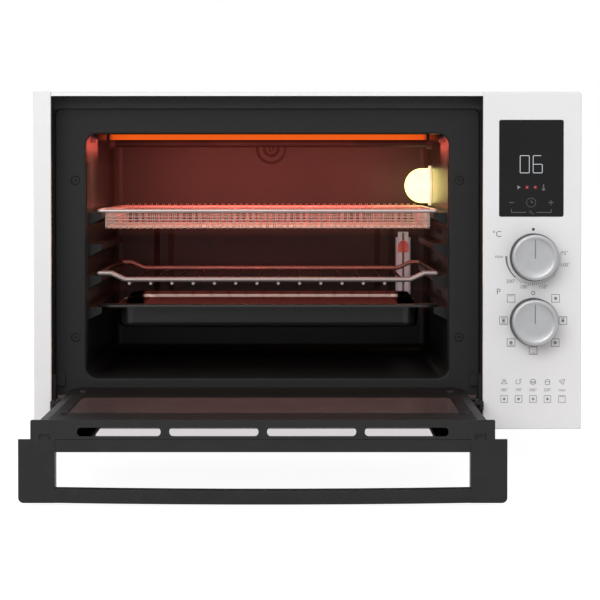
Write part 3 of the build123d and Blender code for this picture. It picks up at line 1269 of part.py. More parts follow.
def make_glass_clips():
    """Spring plates that press the inner pane against the panel."""
    clips = []
    under = DOOR_SHEET + INNER_GLASS_THICKNESS
    thin = GLASS_CLIP_THICKNESS
    for fraction in (-0.6, 0.6):
        x = BAY_CENTRE + fraction * WINDOW_OPENING_WIDTH / 2
        a, b = x - GLASS_CLIP_LENGTH / 2, x + GLASS_CLIP_LENGTH / 2
        for edge, way in ((WINDOW_OPENING_LOW, -1), (WINDOW_OPENING_HIGH, 1)):
            pane = edge + way * INNER_GLASS_OVERLAP
            inner = sorted((pane - way * 5, pane + way * (0.5 + thin)))
            clip = door_block(a, b, *inner, under, under + thin)
            wall = sorted((pane + way * 0.5, pane + way * (0.5 + thin)))
            clip += door_block(a, b, *wall, DOOR_SHEET, under + thin)
            foot = sorted((pane + way * 0.5, pane + way * (0.5 + GLASS_CLIP_WIDTH)))
            clip += door_block(a, b, *foot, DOOR_SHEET, DOOR_SHEET + thin)
            clips.append(clip)
    return Compound(clips)


def make_door_trim():
    """The cap along the door's free edge, with four vent slots."""
    half = DOOR_BOX_WIDTH / 2
    low = DOOR_REACH - TRIM_THICKNESS
    trim = door_block(BAY_CENTRE - half, BAY_CENTRE + half, low, DOOR_REACH, 0, DOOR_BOX_THICKNESS)
    trim = fillet(trim.edges().filter_by(Axis.Y).group_by(Axis.Z)[-1], 1.2)
    slots = []
    gaps = TRIM_SLOT_GAP * (TRIM_SLOT_COUNT - 1)
    run = DOOR_BOX_WIDTH - 2 * TRIM_SLOT_MARGIN - gaps + 2 * TRIM_END_SLOT_CUT
    x = BAY_CENTRE - half + TRIM_SLOT_MARGIN
    for n in range(TRIM_SLOT_COUNT):
        length = run / TRIM_SLOT_COUNT - (TRIM_END_SLOT_CUT if n in (0, TRIM_SLOT_COUNT - 1) else 0)
        slot = door_block(
            x, x + length, low - 1, DOOR_REACH + 1,
            TRIM_SLOT_DEPTH - TRIM_SLOT_HEIGHT / 2, TRIM_SLOT_DEPTH + TRIM_SLOT_HEIGHT / 2,
        )
        slots.append(fillet(slot.edges().filter_by(Axis.Y), TRIM_SLOT_HEIGHT * 0.45))
        x += length + TRIM_SLOT_GAP
    for side in MIRRORED:
        x = BAY_CENTRE + side * TRIM_NOTCH_OFFSET
        slots.append(
            door_block(
                x - TRIM_NOTCH_WIDTH / 2, x + TRIM_NOTCH_WIDTH / 2, DOOR_REACH - TRIM_NOTCH_DEPTH,
                DOOR_REACH + 1, DOOR_BOX_THICKNESS - TRIM_NOTCH_HEIGHT, DOOR_BOX_THICKNESS + 1,
            )
        )
    return cut_all(trim, slots)


def make_door_side_rail(side):
    """The stiff rail inside one side of the door, with the hinge hole and the stop lug."""
    outer = pan_half() - DOOR_SHEET
    inner = outer - SIDE_RAIL_WIDTH
    a, b = sorted((BAY_CENTRE + side * inner, BAY_CENTRE + side * outer))
    under = DOOR_SHEET + DOOR_BEVEL_DROP + INNER_GLASS_THICKNESS - 2
    high = DOOR_REACH - TRIM_THICKNESS
    rail = door_block(a, b, -DOOR_TAIL + 2, high, under, DOOR_BOX_THICKNESS)
    wall = SIDE_RAIL_WALL
    rail -= door_block(a + wall, b - wall, 20, high - wall, under + wall, DOOR_BOX_THICKNESS + 1)
    for x, y, z in door_screw_points():
        if (x - BAY_CENTRE) * side > 0:
            post = rod((x, y, DOOR_FACE_Z - DOOR_SHEET), (x, y, DOOR_FACE_Z - under - wall), 3.5)
            rail += post
            rail -= rod((x, y, DOOR_FACE_Z), (x, y, DOOR_FACE_Z - SCREW_LENGTH - 1), SCREW_RADIUS)
    rail -= tail_round(PIVOT_INSET - DOOR_SHEET)
    rail += stop_lug(side, DOOR_SHEET + 3, STOP_LUG_LENGTH)
    return rail - pin_line(side, BUSH_RADIUS)


def pin_line(side, radius):
    """A bar along the hinge line through one side of the door."""
    outer = BAY_CENTRE + side * (pan_half() + 1)
    inner = BAY_CENTRE + side * (pan_half() - DOOR_SHEET - SIDE_RAIL_WIDTH - 1)
    return rod((outer, PIVOT_Y, PIVOT_Z), (inner, PIVOT_Y, PIVOT_Z), radius)


def make_hinge_bushes():
    """Bushes in the door that turn on the hinge pins."""
    bushes = []
    for side in MIRRORED:
        start = BAY_CENTRE + side * pan_half()
        end = start - side * BUSH_LENGTH
        bushes.append(
            tube((start, PIVOT_Y, PIVOT_Z), (end, PIVOT_Y, PIVOT_Z), BUSH_RADIUS, PIN_RADIUS + PIN_FIT)
        )
    return Compound(bushes)


def make_outer_glass():
    """The clear outer pane, under the two side rails."""
    half = DOOR_BOX_WIDTH / 2
    top = DOOR_REACH - HANDLE_DEPTH
    pane = door_slab(
        BAY_CENTRE - half, BAY_CENTRE + half, -DOOR_TAIL, top, DOOR_BOX_THICKNESS,
        DOOR_BOX_THICKNESS + OUTER_GLASS_THICKNESS, 2,
    )
    return pane


def make_handle():
    """The wide square handle: a bar on the door, a post at each end and the grip."""
    low, high = DOOR_REACH - HANDLE_DEPTH, DOOR_REACH
    half = HANDLE_WIDTH / 2
    base_in = DOOR_BOX_THICKNESS
    base_out = base_in + HANDLE_BASE_THICKNESS
    grip_in = base_out + HANDLE_GAP
    grip_out = grip_in + HANDLE_GRIP_THICKNESS
    post = half - HANDLE_POST_WIDTH
    base = door_block(
        BAY_CENTRE - post, BAY_CENTRE + post, low, high - HANDLE_BASE_SETBACK, base_in, base_out
    )
    base = fillet(base.edges().filter_by(Axis.X), HANDLE_EDGE_ROUND)
    left, right = BAY_CENTRE - post, BAY_CENTRE + post
    upper, lower = DOOR_FACE_Z - grip_in, DOOR_FACE_Z - grip_out
    outline = make_face(
        ThreePointArc((left, upper), (BAY_CENTRE, upper - HANDLE_BOW), (right, upper))
        + Line((right, upper), (right, lower))
        + ThreePointArc((right, lower), (BAY_CENTRE, lower - HANDLE_BOW), (left, lower))
        + Line((left, lower), (left, upper))
    )
    grip = extrude(Pos(0, PIVOT_Y - high, 0) * (Plane.XZ * outline), high - low, dir=(0, 1, 0))
    long_edges = [e for e in grip.edges() if e.length > HANDLE_WIDTH / 2]
    grip = fillet(long_edges, HANDLE_EDGE_ROUND)
    posts = []
    for side in MIRRORED:
        a, b = sorted((BAY_CENTRE + side * post, BAY_CENTRE + side * half))
        piece = door_block(a, b, low, high, base_in, grip_out)
        outside = BAY_CENTRE + side * half
        corner = [
            e for e in piece.edges().filter_by(Axis.Y)
            if abs(e.center().X - outside) < 1 and e.center().Z < lower + 1
        ]
        piece = fillet(corner, HANDLE_CORNER_RADIUS)
        c, d = sorted((BAY_CENTRE + side * DOOR_BOX_WIDTH / 2, outside + side))
        piece -= door_block(c, d, low - 1, high - HANDLE_WING_DEPTH, base_in - 1, grip_out + 1)
        x = BAY_CENTRE + side * TRIM_NOTCH_OFFSET
        piece += door_block(
            x - HANDLE_TAB_WIDTH / 2, x + HANDLE_TAB_WIDTH / 2, high - HANDLE_TAB_DEPTH, high,
            base_in - HANDLE_TAB_HEIGHT, base_in,
        )
        posts.append(piece)
    return base, grip, Compound(posts)


def stop_lug(side, inward, outward):
    """A round lug through one side of the door, between two distances from its face."""
    start = BAY_CENTRE + side * (pan_half() - inward)
    end = BAY_CENTRE + side * (pan_half() + outward)
    y, z = PIVOT_Y - STOP_LUG_REACH, DOOR_FACE_Z - STOP_LUG_DROP
    return rod((start, y, z), (end, y, z), STOP_LUG_RADIUS)


def bracket_span(side):
    """The hinge bracket's near and far places across the gap beside the door."""
    outer = BAY_LEFT if side < 0 else BAY_RIGHT
    return outer, outer - side * BRACKET_THICKNESS


def make_hinge_bracket(side):
    """An upright ear with a forward arm that the door's lug rests on."""
    outer, inner = bracket_span(side)
    a, b = sorted((outer, inner))
    low = PIVOT_Z - 10
    lug_z = DOOR_FACE_Z - STOP_LUG_DROP - STOP_LUG_RADIUS - STOP_GAP
    ear = block(a, b, PIVOT_Y - 9, FRAME_Y, low, low + BRACKET_HEIGHT)
    wide = outer - side * 11
    c, d = sorted((outer, wide))
    ear += block(c, d, FRAME_Y - BRACKET_THICKNESS, FRAME_Y, low + BRACKET_HEIGHT - BRACKET_LIP,
                 low + BRACKET_HEIGHT)
    ear += block(c, d, PIVOT_Y - STOP_LUG_REACH - 4, PIVOT_Y - STOP_LUG_REACH + 4, lug_z - 3, lug_z)
    ear += block(a, b, PIVOT_Y - STOP_LUG_REACH - 4, PIVOT_Y, lug_z - 8, lug_z)
    ear -= block(
        a - 1, b + 1, PIVOT_Y - STOP_LUG_REACH - 8, PIVOT_Y - 6, lug_z, low + BRACKET_HEIGHT + 1
    )
    return ear - rod((outer + side, PIVOT_Y, PIVOT_Z), (wide, PIVOT_Y, PIVOT_Z), PIN_RADIUS)


def make_hinge_pins():
    """Steel pins fixed in the brackets, which the door turns on."""
    pins = []
    for side in MIRRORED:
        outer = bracket_span(side)[0]
        end = BAY_CENTRE + side * (pan_half() - BUSH_LENGTH + 1)
        pins.append(rod((outer, PIVOT_Y, PIVOT_Z), (end, PIVOT_Y, PIVOT_Z), PIN_RADIUS))
    return Compound(pins)


# Shelves


def make_wire_rack():
    """A chromed rack: a raised-end frame over fourteen bars."""
    y0, y1 = SHELF_FRONT_Y + RACK_ROD_RADIUS, SHELF_BACK_Y - RACK_ROD_RADIUS
    left, right = SHELF_LEFT + RACK_ROD_RADIUS, SHELF_RIGHT - RACK_ROD_RADIUS
    high, low = RACK_Z, RACK_Z - RACK_DROP

    def cross_rod(y, trim):
        flat, slope = RACK_END_FLAT, RACK_SLOPE
        points = [
            (left + trim, y, high), (left + flat, y, high), (left + flat + slope, y, low),
            (right - flat - slope, y, low), (right - flat, y, high), (right - trim, y, high),
        ]
        return bent_rod(points, RACK_BEND, RACK_ROD_RADIUS)

    pieces = [cross_rod(y0, 0), cross_rod(y1, 0), cross_rod(y0 + RACK_DOUBLE_GAP, 6)]
    for x in (left, right):
        pieces.append(rod((x, y0, high), (x, y1, high), RACK_ROD_RADIUS))
        for y in (y0, y1):
            pieces.append(Pos(x, y, high) * Sphere(RACK_ROD_RADIUS))
    bar_z = low - RACK_ROD_RADIUS - RACK_BAR_RADIUS + RACK_WELD
    first_bar = SHELF_LEFT + RACK_BAR_MARGIN
    bar_pitch = (SHELF_RIGHT - RACK_BAR_MARGIN - first_bar) / (RACK_BAR_COUNT - 1)
    for n in range(RACK_BAR_COUNT):
        x = first_bar + n * bar_pitch
        pieces.append(rod((x, y0 - 1.5, bar_z), (x, y1 + 1.5, bar_z), RACK_BAR_RADIUS))
    return joined(pieces)


def make_basket_rim():
    """The round wire that carries the basket."""
    r = BASKET_ROD_RADIUS
    x0, x1 = SHELF_LEFT + r, SHELF_RIGHT - r
    y0, y1 = SHELF_FRONT_Y + r, SHELF_BACK_Y - r
    centre = Pos((x0 + x1) / 2, (y0 + y1) / 2, BASKET_Z)
    path = (centre * RectangleRounded(x1 - x0, y1 - y0, BASKET_CORNER_RADIUS)).wire()
    section = Plane(origin=path @ 0, z_dir=path % 0) * Circle(r)
    return sweep(section, path)


def grid_sheet(sheet, cuts_a, cuts_b, cell, axis_a, axis_b):
    """Cut a grid of square gaps through a sheet, leaving wires between them."""
    (a0, a1, count_a), (b0, b1, count_b) = cuts_a, cuts_b
    step_a, step_b = (a1 - a0) / count_a, (b1 - b0) / count_b
    gaps = []
    for i in range(count_a):
        for j in range(count_b):
            spans = {
                axis_a: (a0 + i * step_a + BASKET_WIRE / 2, a0 + (i + 1) * step_a - BASKET_WIRE / 2),
                axis_b: (b0 + j * step_b + BASKET_WIRE / 2, b0 + (j + 1) * step_b - BASKET_WIRE / 2),
            }
            spans.update(cell)
            gaps.append(block(*spans["x"], *spans["y"], *spans["z"]))
    return sheet - Compound(gaps)


def make_basket_mesh():
    """The shallow basket that hangs inside the rim wire."""
    x0, x1 = BASKET_LEFT, BASKET_RIGHT
    margin = 2 * BASKET_ROD_RADIUS
    y0, y1 = SHELF_FRONT_Y + margin, SHELF_BACK_Y - margin
    z1 = BASKET_Z + BASKET_ROD_RADIUS
    z0 = z1 - BASKET_DROP
    thin = BASKET_SHEET
    pan = block(x0, x1, y0, y1, z0, z1)
    pan -= block(x0 + thin, x1 - thin, y0 + thin, y1 - thin, z0 + thin, z1 + 1)
    bend = BASKET_CORNER_RADIUS
    pan += block(SHELF_LEFT + margin, x0 + thin, y0 + bend, y1 - bend, BASKET_Z - 0.5, BASKET_Z + 0.5)
    pan += block(x1 - thin, SHELF_RIGHT - margin, y0 + bend, y1 - bend, BASKET_Z - 0.5, BASKET_Z + 0.5)
    across = (x0 + thin, x1 - thin, BASKET_HOLES_ACROSS)
    deep = (y0 + thin, y1 - thin, BASKET_HOLES_DEEP)
    upright = (z0 + thin, z1 - 3, 1)
    pan = grid_sheet(pan, across, deep, {"z": (z0 - 1, z0 + thin + 1)}, "x", "y")
    pan = grid_sheet(pan, across, upright, {"y": (y0 - 1, y1 + 1)}, "x", "z")
    return grid_sheet(pan, deep, upright, {"x": (x0 - 1, x1 + 1)}, "y", "z")


def make_baking_tray():
    """A deep-drawn tray with a flat rim turned down at its edge."""
    z1 = TRAY_TOP
    inset, fall, thin = TRAY_BOWL_INSET, TRAY_FALL, TRAY_SHEET

    def bowl(shrink, top):
        wide = SHELF_RIGHT - SHELF_LEFT - 2 * (inset + shrink)
        deep = SHELF_BACK_Y - SHELF_FRONT_Y - 2 * (inset + shrink)
        middle = ((SHELF_LEFT + SHELF_RIGHT) / 2, (SHELF_FRONT_Y + SHELF_BACK_Y) / 2, top)
        mouth = Plane(origin=middle, z_dir=(0, 0, -1), x_dir=(1, 0, 0))
        mouth *= RectangleRounded(wide, deep, TRAY_CORNER_RADIUS - shrink)
        form = extrude(mouth, top - (z1 - fall + shrink), taper=TRAY_DRAFT)
        return fillet(form.faces().sort_by(Axis.Z)[0].edges(), TRAY_EDGE_RADIUS - shrink)

    def rim(shrink, low, high):
        form = block(
            SHELF_LEFT + shrink, SHELF_RIGHT - shrink, SHELF_FRONT_Y + shrink,
            SHELF_BACK_Y - shrink, low, high,
        )
        return fillet(form.edges().filter_by(Axis.Z), TRAY_CORNER_RADIUS - shrink)

    edge = rim(0, z1 - TRAY_LIP_DROP, z1)
    edge = fillet(edge.faces().sort_by(Axis.Z)[-1].edges(), 0.9)
    edge -= rim(thin, z1 - TRAY_LIP_DROP - 1, z1 - thin)
    return edge + bowl(0, z1) - bowl(thin, z1 + 1)


def main():
    os.makedirs("parts", exist_ok=True)
    write("outer_casing", make_outer_casing())
    write("base_plate", make_base_plate())
    feet, pads, screws = make_feet()
    write("feet", feet)
    write("foot_pads", pads)
    screws += [screw(p, (0, -1, 0)) for p in rear_screw_points()]
    screws += [screw(p, (0, 1, 0)) for p in control_screw_points()]
    write("casing_screws", Compound(screws))
    write("rear_cover", make_rear_cover())
    write("rear_spacers", make_rear_spacers())
    write("cord_gland", make_cord_gland())
    write("terminal_block", make_terminal_block())

    write("front_frame", make_front_frame())
    write("frame_screws", make_frame_screws())
    write("oven_liner", make_oven_liner())
    write("side_liner_left", make_side_liner(-1))
    write("side_liner_right", make_side_liner(1))
    write("insulation_mat", make_insulation())
    write("heat_shield", make_heat_shield())

    for name, axis in zip(("grill_heater", "top_heater"), top_heater_axes()):
        write(name, heater_tube(*axis, COLLAR_LENGTH))
    below = [heater_tube(*axis, -BOTTOM_TUBE_INSET) for axis in bottom_heater_axes()]
    write("bottom_heaters", Compound(below))
    write("heater_collars", make_heater_collars())
    write("heater_clips", make_heater_clips())

    holder, bulb, glass, ring = make_lamp()
    write("lamp_holder", holder)
    write("lamp_bulb", bulb)
    write("lamp_glass", glass)
    write("lamp_ring", ring)
    write("sensor_guard", make_sensor_guard())
    write("sensor_bulb", make_sensor_bulb())

    housing, wheel, motor = make_fan()
    write("fan_housing", housing)
    write("fan_wheel", wheel)
    write("fan_motor", motor)

    write("control_panel", make_control_panel())
    window, board = make_display()
    write("display_window", window)
    write("display_board", board)
    for name, body, z in zip(("program", "temperature"), ("selector_switch", "thermostat"), KNOB_HEIGHTS):
        skirt, cap, shaft = make_knob(z)
        write(name + "_knob", skirt)
        write(name + "_knob_cap", cap)
        write(name + "_shaft", shaft)
        write(body, make_control_body(z))

    write("hinge_brackets", Compound([make_hinge_bracket(side) for side in MIRRORED]))
    write("hinge_pins", make_hinge_pins())

    write("door_inner_panel", make_door_inner_panel())
    write("door_inner_glass", make_inner_glass())
    write("door_glass_clips", make_glass_clips())
    write("door_screws", Compound([screw(p, (0, 0, -1)) for p in door_screw_points()]))
    write("door_top_trim", make_door_trim())
    write("door_side_rail_left", make_door_side_rail(-1))
    write("door_side_rail_right", make_door_side_rail(1))
    write("door_hinge_bushes", make_hinge_bushes())
    write("door_outer_glass", make_outer_glass())
    base, grip, posts = make_handle()
    write("handle_base", base)
    write("handle_grip", grip)
    write("handle_posts", posts)

    write("wire_rack", make_wire_rack())
    write("basket_rim", make_basket_rim())
    write("basket_mesh", make_basket_mesh())
    write("baking_tray", make_baking_tray())


if __name__ == "__main__":
    main()
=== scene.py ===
"""The looks of a white mini oven with its door dropped open."""
import math

import bmesh
import bpy
from mathutils import Matrix, Vector


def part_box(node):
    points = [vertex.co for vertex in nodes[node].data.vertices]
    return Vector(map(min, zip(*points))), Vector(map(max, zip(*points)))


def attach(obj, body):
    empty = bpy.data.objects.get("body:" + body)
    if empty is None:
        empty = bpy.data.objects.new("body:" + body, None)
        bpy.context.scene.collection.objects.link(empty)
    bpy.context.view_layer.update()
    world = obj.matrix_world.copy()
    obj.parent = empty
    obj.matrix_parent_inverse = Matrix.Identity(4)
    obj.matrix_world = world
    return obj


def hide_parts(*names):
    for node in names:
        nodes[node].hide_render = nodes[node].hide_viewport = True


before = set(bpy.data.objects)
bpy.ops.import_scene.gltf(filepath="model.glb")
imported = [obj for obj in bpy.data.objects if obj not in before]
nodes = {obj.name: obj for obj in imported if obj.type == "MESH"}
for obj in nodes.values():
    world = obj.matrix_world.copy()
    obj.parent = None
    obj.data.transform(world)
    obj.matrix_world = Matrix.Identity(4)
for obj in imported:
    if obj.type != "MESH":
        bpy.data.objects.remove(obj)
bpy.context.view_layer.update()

MM = 0.001

# The photograph's view: its size, focal length and the point where lines from front to back meet
FRAME_PX = 600
FOCAL_PX = 2296
VANISHING_PX = (297, 174)
CAMERA_DISTANCE = 2.262
CAMERA_X = -0.0103
CAMERA_RISE = 0.2518
CAMERA_PITCH_DEG = 1.1
SENSOR_MM = 36.0

# Places taken from the frame
_, casing_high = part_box("outer_casing")
panel_low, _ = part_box("control_panel")
display_low, display_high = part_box("display_window")
FRONT_Y = panel_low.y
CASE_BOTTOM = panel_low.z


def middle_of(node):
    """The middle of a node's box, as x, y and z."""
    low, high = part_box(node)
    return ((low.x + high.x) / 2, (low.y + high.y) / 2, (low.z + high.z) / 2)


# Materials

# The band of the black frame above the mouth, painted paler to lift the shade that it lies in
HEAD_BAND = 16.5 * MM

# How far behind the tray's front edge its inside begins, browned, with painted glow and a painted
# highlight
TRAY_FRONT = 26 * MM

# The printed border of the outer glass: at its sides, by the hinge and by the handle
BORDER_SIDE = 50 * MM
BORDER_HINGE = 1 * MM
BORDER_HANDLE = 64 * MM

# How much of what reaches clear glass goes straight through it
CLEAR_SHARE = 0.94
GLASS_IOR = 1.5


def srgb(red, green, blue):
    """A linear colour from the 0 to 255 values that a screen shows."""
    def linear(value):
        share = value / 255
        return share / 12.92 if share <= 0.04045 else ((share + 0.055) / 1.055) ** 2.4
    return (linear(red), linear(green), linear(blue), 1.0)


def grey(level):
    """A linear grey."""
    return (level, level, level, 1)


def scaled(color, factor):
    """The colour, lighter or darker."""
    return tuple(min(1.0, part * factor) for part in color[:3]) + (1.0,)


class Surface:
    """A material with a Principled shader and short ways to add detail to it."""

    def __init__(self, name, color, roughness=0.5, metallic=0.0, specular=0.5):
        self.material = bpy.data.materials.new(name)
        self.material.use_nodes = True
        self.tree = self.material.node_tree
        self.shader = self.tree.nodes["Principled BSDF"]
        self.color = color
        self.set("Base Color", color)
        self.set("Roughness", roughness)
        self.set("Metallic", metallic)
        self.set("Specular IOR Level", specular)

    def set(self, socket, value):
        """One value for the whole surface."""
        self.shader.inputs[socket].default_value = value

    def link(self, source, target):
        self.tree.links.new(source, target)

    def feed(self, socket, source):
        """A value of the shader that changes over the surface."""
        self.link(source, self.shader.inputs[socket])

    def node(self, kind, **settings):
        """A node with some of its inputs or properties set."""
        made = self.tree.nodes.new(kind)
        for name, value in settings.items():
            if name in made.inputs:
                made.inputs[name].default_value = value
            else:
                setattr(made, name, value)
        return made

    def compute(self, operation, first, second=None):
        """An operation on one value or two; the second is a number or another node's output."""
        made = self.node("ShaderNodeMath", operation=operation)
        self.link(first, made.inputs[0])
        if isinstance(second, bpy.types.NodeSocket):
            self.link(second, made.inputs[1])
        elif second is not None:
            made.inputs[1].default_value = second
        return made.outputs[0]

    def coordinates(self, stretch=(1, 1, 1)):
        """Positions in metres, stretched for grain that runs one way."""
        place = self.node("ShaderNodeTexCoord")
        mapping = self.node("ShaderNodeMapping", Scale=stretch)
        self.link(place.outputs["Object"], mapping.inputs["Vector"])
        return mapping.outputs["Vector"]

    def split(self, vector):
        """The X, Y and Z outputs of a vector."""
        made = self.node("ShaderNodeSeparateXYZ")
        self.link(vector, made.inputs["Vector"])
        return made.outputs

    def facing_front(self):
        """One where the surface faces front or back, and nought where it faces aside or up."""
        place = self.node("ShaderNodeNewGeometry")
        return self.compute("ABSOLUTE", self.split(place.outputs["Normal"])["Y"])

    def noise(self, scale, detail, roughness, stretch):
        texture = self.node("ShaderNodeTexNoise", Scale=scale, Detail=detail, Roughness=roughness)
        self.link(self.coordinates(stretch), texture.inputs["Vector"])
        return texture.outputs["Fac"]

    def ramp(self, source, stops):
        """A colour or grey that follows a value; stops are (place, colour)."""
        made = self.node("ShaderNodeValToRGB")
        elements = made.color_ramp.elements
        while len(elements) < len(stops):
            elements.new(0.5)
        for element, (place, color) in zip(elements, stops):
            element.position = place
            element.color = color
        self.link(source, made.inputs["Fac"])
        return made.outputs["Color"]

    def vary(self, scale, dark=0.9, light=1.08, stretch=(1, 1, 1)):
        """Soft variation of the colour."""
        fac = self.noise(scale, 4.0, 0.55, stretch)
        stops = [(0.3, scaled(self.color, dark)), (0.7, scaled(self.color, light))]
        self.feed("Base Color", self.ramp(fac, stops))
        return self

    def vary_roughness(self, scale, low, high):
        """Soft variation of the gloss."""
        fac = self.noise(scale, 4.0, 0.6, (1, 1, 1))
        self.feed("Roughness", self.ramp(fac, [(0.3, grey(low)), (0.7, grey(high))]))
        return self

    def rough(self, scale, distance, strength=1.0, stretch=(1, 1, 1), detail=2.0):
        """Fine relief; distance is in metres."""
        bump = self.node("ShaderNodeBump", Strength=strength, Distance=distance)
        self.link(self.noise(scale, detail, 0.6, stretch), bump.inputs["Height"])
        self.feed("Normal", bump.outputs["Normal"])
        return self

    def glow(self, color, strength):
        """Light of the surface's own."""
        self.set("Emission Color", color)
        self.set("Emission Strength", strength)


def white_enamel():
    surface = Surface("white_enamel", srgb(238, 238, 238), 0.32, specular=0.35)
    surface.vary(14, 0.985, 1.01).vary_roughness(60, 0.28, 0.38)
    return surface.rough(900, 0.00003, 0.5)


def white_plastic():
    surface = Surface("white_plastic", srgb(238, 238, 239), 0.36, specular=0.35)
    surface.vary(9, 0.985, 1.01)
    return surface.rough(2600, 0.00003, 0.6)


def black_plastic():
    surface = Surface("black_plastic", srgb(34, 34, 34), 0.46, specular=0.2)
    surface.vary(60, 0.85, 1.15).vary_roughness(300, 0.38, 0.48)
    return surface.rough(2400, 0.00004, 0.7)


def black_frame():
    """Black enamel, with painted light: the band above the mouth is paler, to lift the shade that
    it lies in.
    """
    surface = Surface("black_frame_enamel", srgb(36, 36, 37), 0.6, specular=0.16)
    surface.vary_roughness(200, 0.55, 0.66)
    height = surface.split(surface.coordinates())["Z"]
    # painted light: the band above the mouth gets a paler base colour than the rest of the frame
    painted_light_band = surface.compute("GREATER_THAN", height, casing_high.z - HEAD_BAND)
    colors = surface.ramp(painted_light_band, [(0.0, srgb(38, 38, 38)), (1.0, srgb(62, 62, 62))])
    surface.feed("Base Color", colors)
    return surface.rough(1500, 0.00004, 0.6)


def black_door_enamel():
    surface = Surface("black_door_enamel", srgb(20, 19, 19), 0.5, specular=0.1)
    surface.vary(30, 0.9, 1.15).vary_roughness(120, 0.45, 0.55)
    return surface.rough(700, 0.00003, 0.5)


def tray_enamel():
    """Black enamel; inside the bowl a brown that is partly baked-on and partly the heater's red
    glow painted in, with a painted highlight line under the rim.
    """
    surface = Surface("tray_enamel", srgb(24, 23, 23), 0.06, specular=0.35)
    low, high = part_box("baking_tray")
    place = surface.split(surface.coordinates())
    inside = surface.compute("GREATER_THAN", place["Y"], low.y + TRAY_FRONT)
    height = surface.node("ShaderNodeMapRange")
    height.inputs["From Min"].default_value = low.z
    height.inputs["From Max"].default_value = high.z
    surface.link(place["Z"], height.inputs["Value"])
    share = surface.compute("MULTIPLY", height.outputs[0], inside)
    # the inside brown is partly the heater's glow painted in; the pale band is a painted highlight
    # standing in for a reflection
    outside, brown, painted_highlight = srgb(30, 29, 29), srgb(84, 36, 31), srgb(226, 196, 184)
    colors = surface.ramp(share, [
        (0.0, outside), (0.01, brown), (0.71, brown), (0.73, painted_highlight), (0.84, painted_highlight), (0.86, brown),
    ])
    surface.feed("Base Color", colors)
    surface.feed("Roughness", surface.ramp(inside, [(0.0, grey(0.3)), (1.0, grey(0.08))]))
    surface.feed("Metallic", inside)
    return surface.rough(300, 0.00001, 0.1)


def liner_enamel():
    """Dark grey baked enamel, a little glossy."""
    surface = Surface("liner_enamel", srgb(36, 34, 33), 0.34, specular=0.18)
    surface.vary(9, 0.93, 1.06).vary_roughness(50, 0.32, 0.36)
    return surface.rough(700, 0.00001, 0.15)


def side_enamel():
    """The liner's enamel on the side walls, with painted shade: darker on the faces towards the
    door or back.
    """
    clean, painted_shade = srgb(36, 34, 33), srgb(18, 17, 17)
    surface = Surface("side_enamel", clean, 0.3, specular=0.2)
    # painted shade on the faces that look towards the door or back, such as the rails' ends
    colors = surface.ramp(surface.facing_front(), [(0.3, clean), (0.7, painted_shade)])
    surface.feed("Base Color", colors)
    return surface.rough(700, 0.00001, 0.15)


def dull_steel():
    surface = Surface("dull_steel", srgb(150, 151, 152), 0.38, 0.85)
    surface.vary(20, 0.85, 1.08).vary_roughness(120, 0.3, 0.5)
    return surface.rough(1200, 0.00003, 0.5, (0.2, 1, 1))


def rail_steel():
    """Rolled steel, browned a little by the heat."""
    surface = Surface("rail_steel", srgb(66, 58, 56), 0.42, specular=0.08)
    surface.vary(20, 0.85, 1.08).vary_roughness(120, 0.34, 0.5)
    return surface.rough(1200, 0.00002, 0.4, (1, 0.2, 1))


def dark_screws():
    surface = Surface("dark_screws", srgb(30, 29, 29), 0.35, specular=0.4)
    surface.vary(300, 0.85, 1.15)
    return surface.rough(2500, 0.00002, 0.4)


def screw_steel():
    surface = Surface("screw_steel", srgb(176, 176, 178), 0.26, 0.95)
    surface.vary(400, 0.8, 1.1)
    return surface.rough(4000, 0.00002, 0.5)


def bright_wire():
    """Fine chromed wire, with faint warm staining."""
    surface = Surface("bright_wire", srgb(172, 160, 152), 0.34, 0.6)
    surface.vary(45, 0.88, 1.05).vary_roughness(150, 0.3, 0.4)
    return surface.rough(1600, 0.00001, 0.3)


def shade_painted_rods():
    """Chromed rods with painted shade: faces that look aside or up, as on the lengthwise rods, are
    painted dark for the dark walls they reflect; the crosswise ones stay bright.
    """
    bright, painted_dark = srgb(144, 132, 129), srgb(42, 32, 30)
    surface = Surface("shade_painted_rods", bright, 0.34, 0.5)
    # painted shade and reflection: dark where the rod's face looks aside or up, bright where it
    # looks front or back
    colors = surface.ramp(surface.facing_front(), [(0.02, painted_dark), (0.22, bright)])
    surface.feed("Base Color", colors)
    surface.vary_roughness(150, 0.3, 0.4)
    return surface.rough(1600, 0.00001, 0.3)


def rim_steel():
    """The polished wire round the basket."""
    surface = Surface("rim_steel", srgb(190, 176, 174), 0.32, 0.5)
    surface.vary(45, 0.94, 1.04)
    return surface.rough(1600, 0.00001, 0.3)


def guard_steel():
    """Smooth pressed steel, with a grey glow painted in to keep it bright."""
    surface = Surface("guard_steel", srgb(160, 168, 172), 0.42, 0.5)
    # painted light: a grey glow, though the guard is no lamp
    surface.glow(srgb(112, 112, 116), 0.6)
    surface.vary(40, 0.94, 1.04)
    return surface.rough(60, 0.00001, 0.3)


def bulb_steel():
    surface = Surface("bulb_steel", srgb(120, 112, 110), 0.4, 0.5)
    surface.vary(150, 0.9, 1.05)
    return surface.rough(1500, 0.00001, 0.3)


def red_gauze():
    """Copper gauze, whose red glow is a painted reflection of the heater's light."""
    surface = Surface("red_gauze", srgb(120, 80, 76), 0.5, 0.2)
    # painted reflection: a red glow, though the gauze is no lamp
    surface.glow(srgb(176, 74, 66), 0.6)
    surface.vary(700, 0.5, 1.5)
    return surface.rough(900, 0.0002, 0.8)


def ceramic():
    surface = Surface("ceramic", srgb(205, 196, 182), 0.6)
    surface.vary(150, 0.85, 1.08)
    return surface.rough(2500, 0.00004, 0.6)


def dark_ceramic():
    surface = Surface("dark_ceramic", srgb(44, 42, 41), 0.6, specular=0.3)
    surface.vary(150, 0.85, 1.12)
    return surface.rough(2500, 0.00004, 0.6)


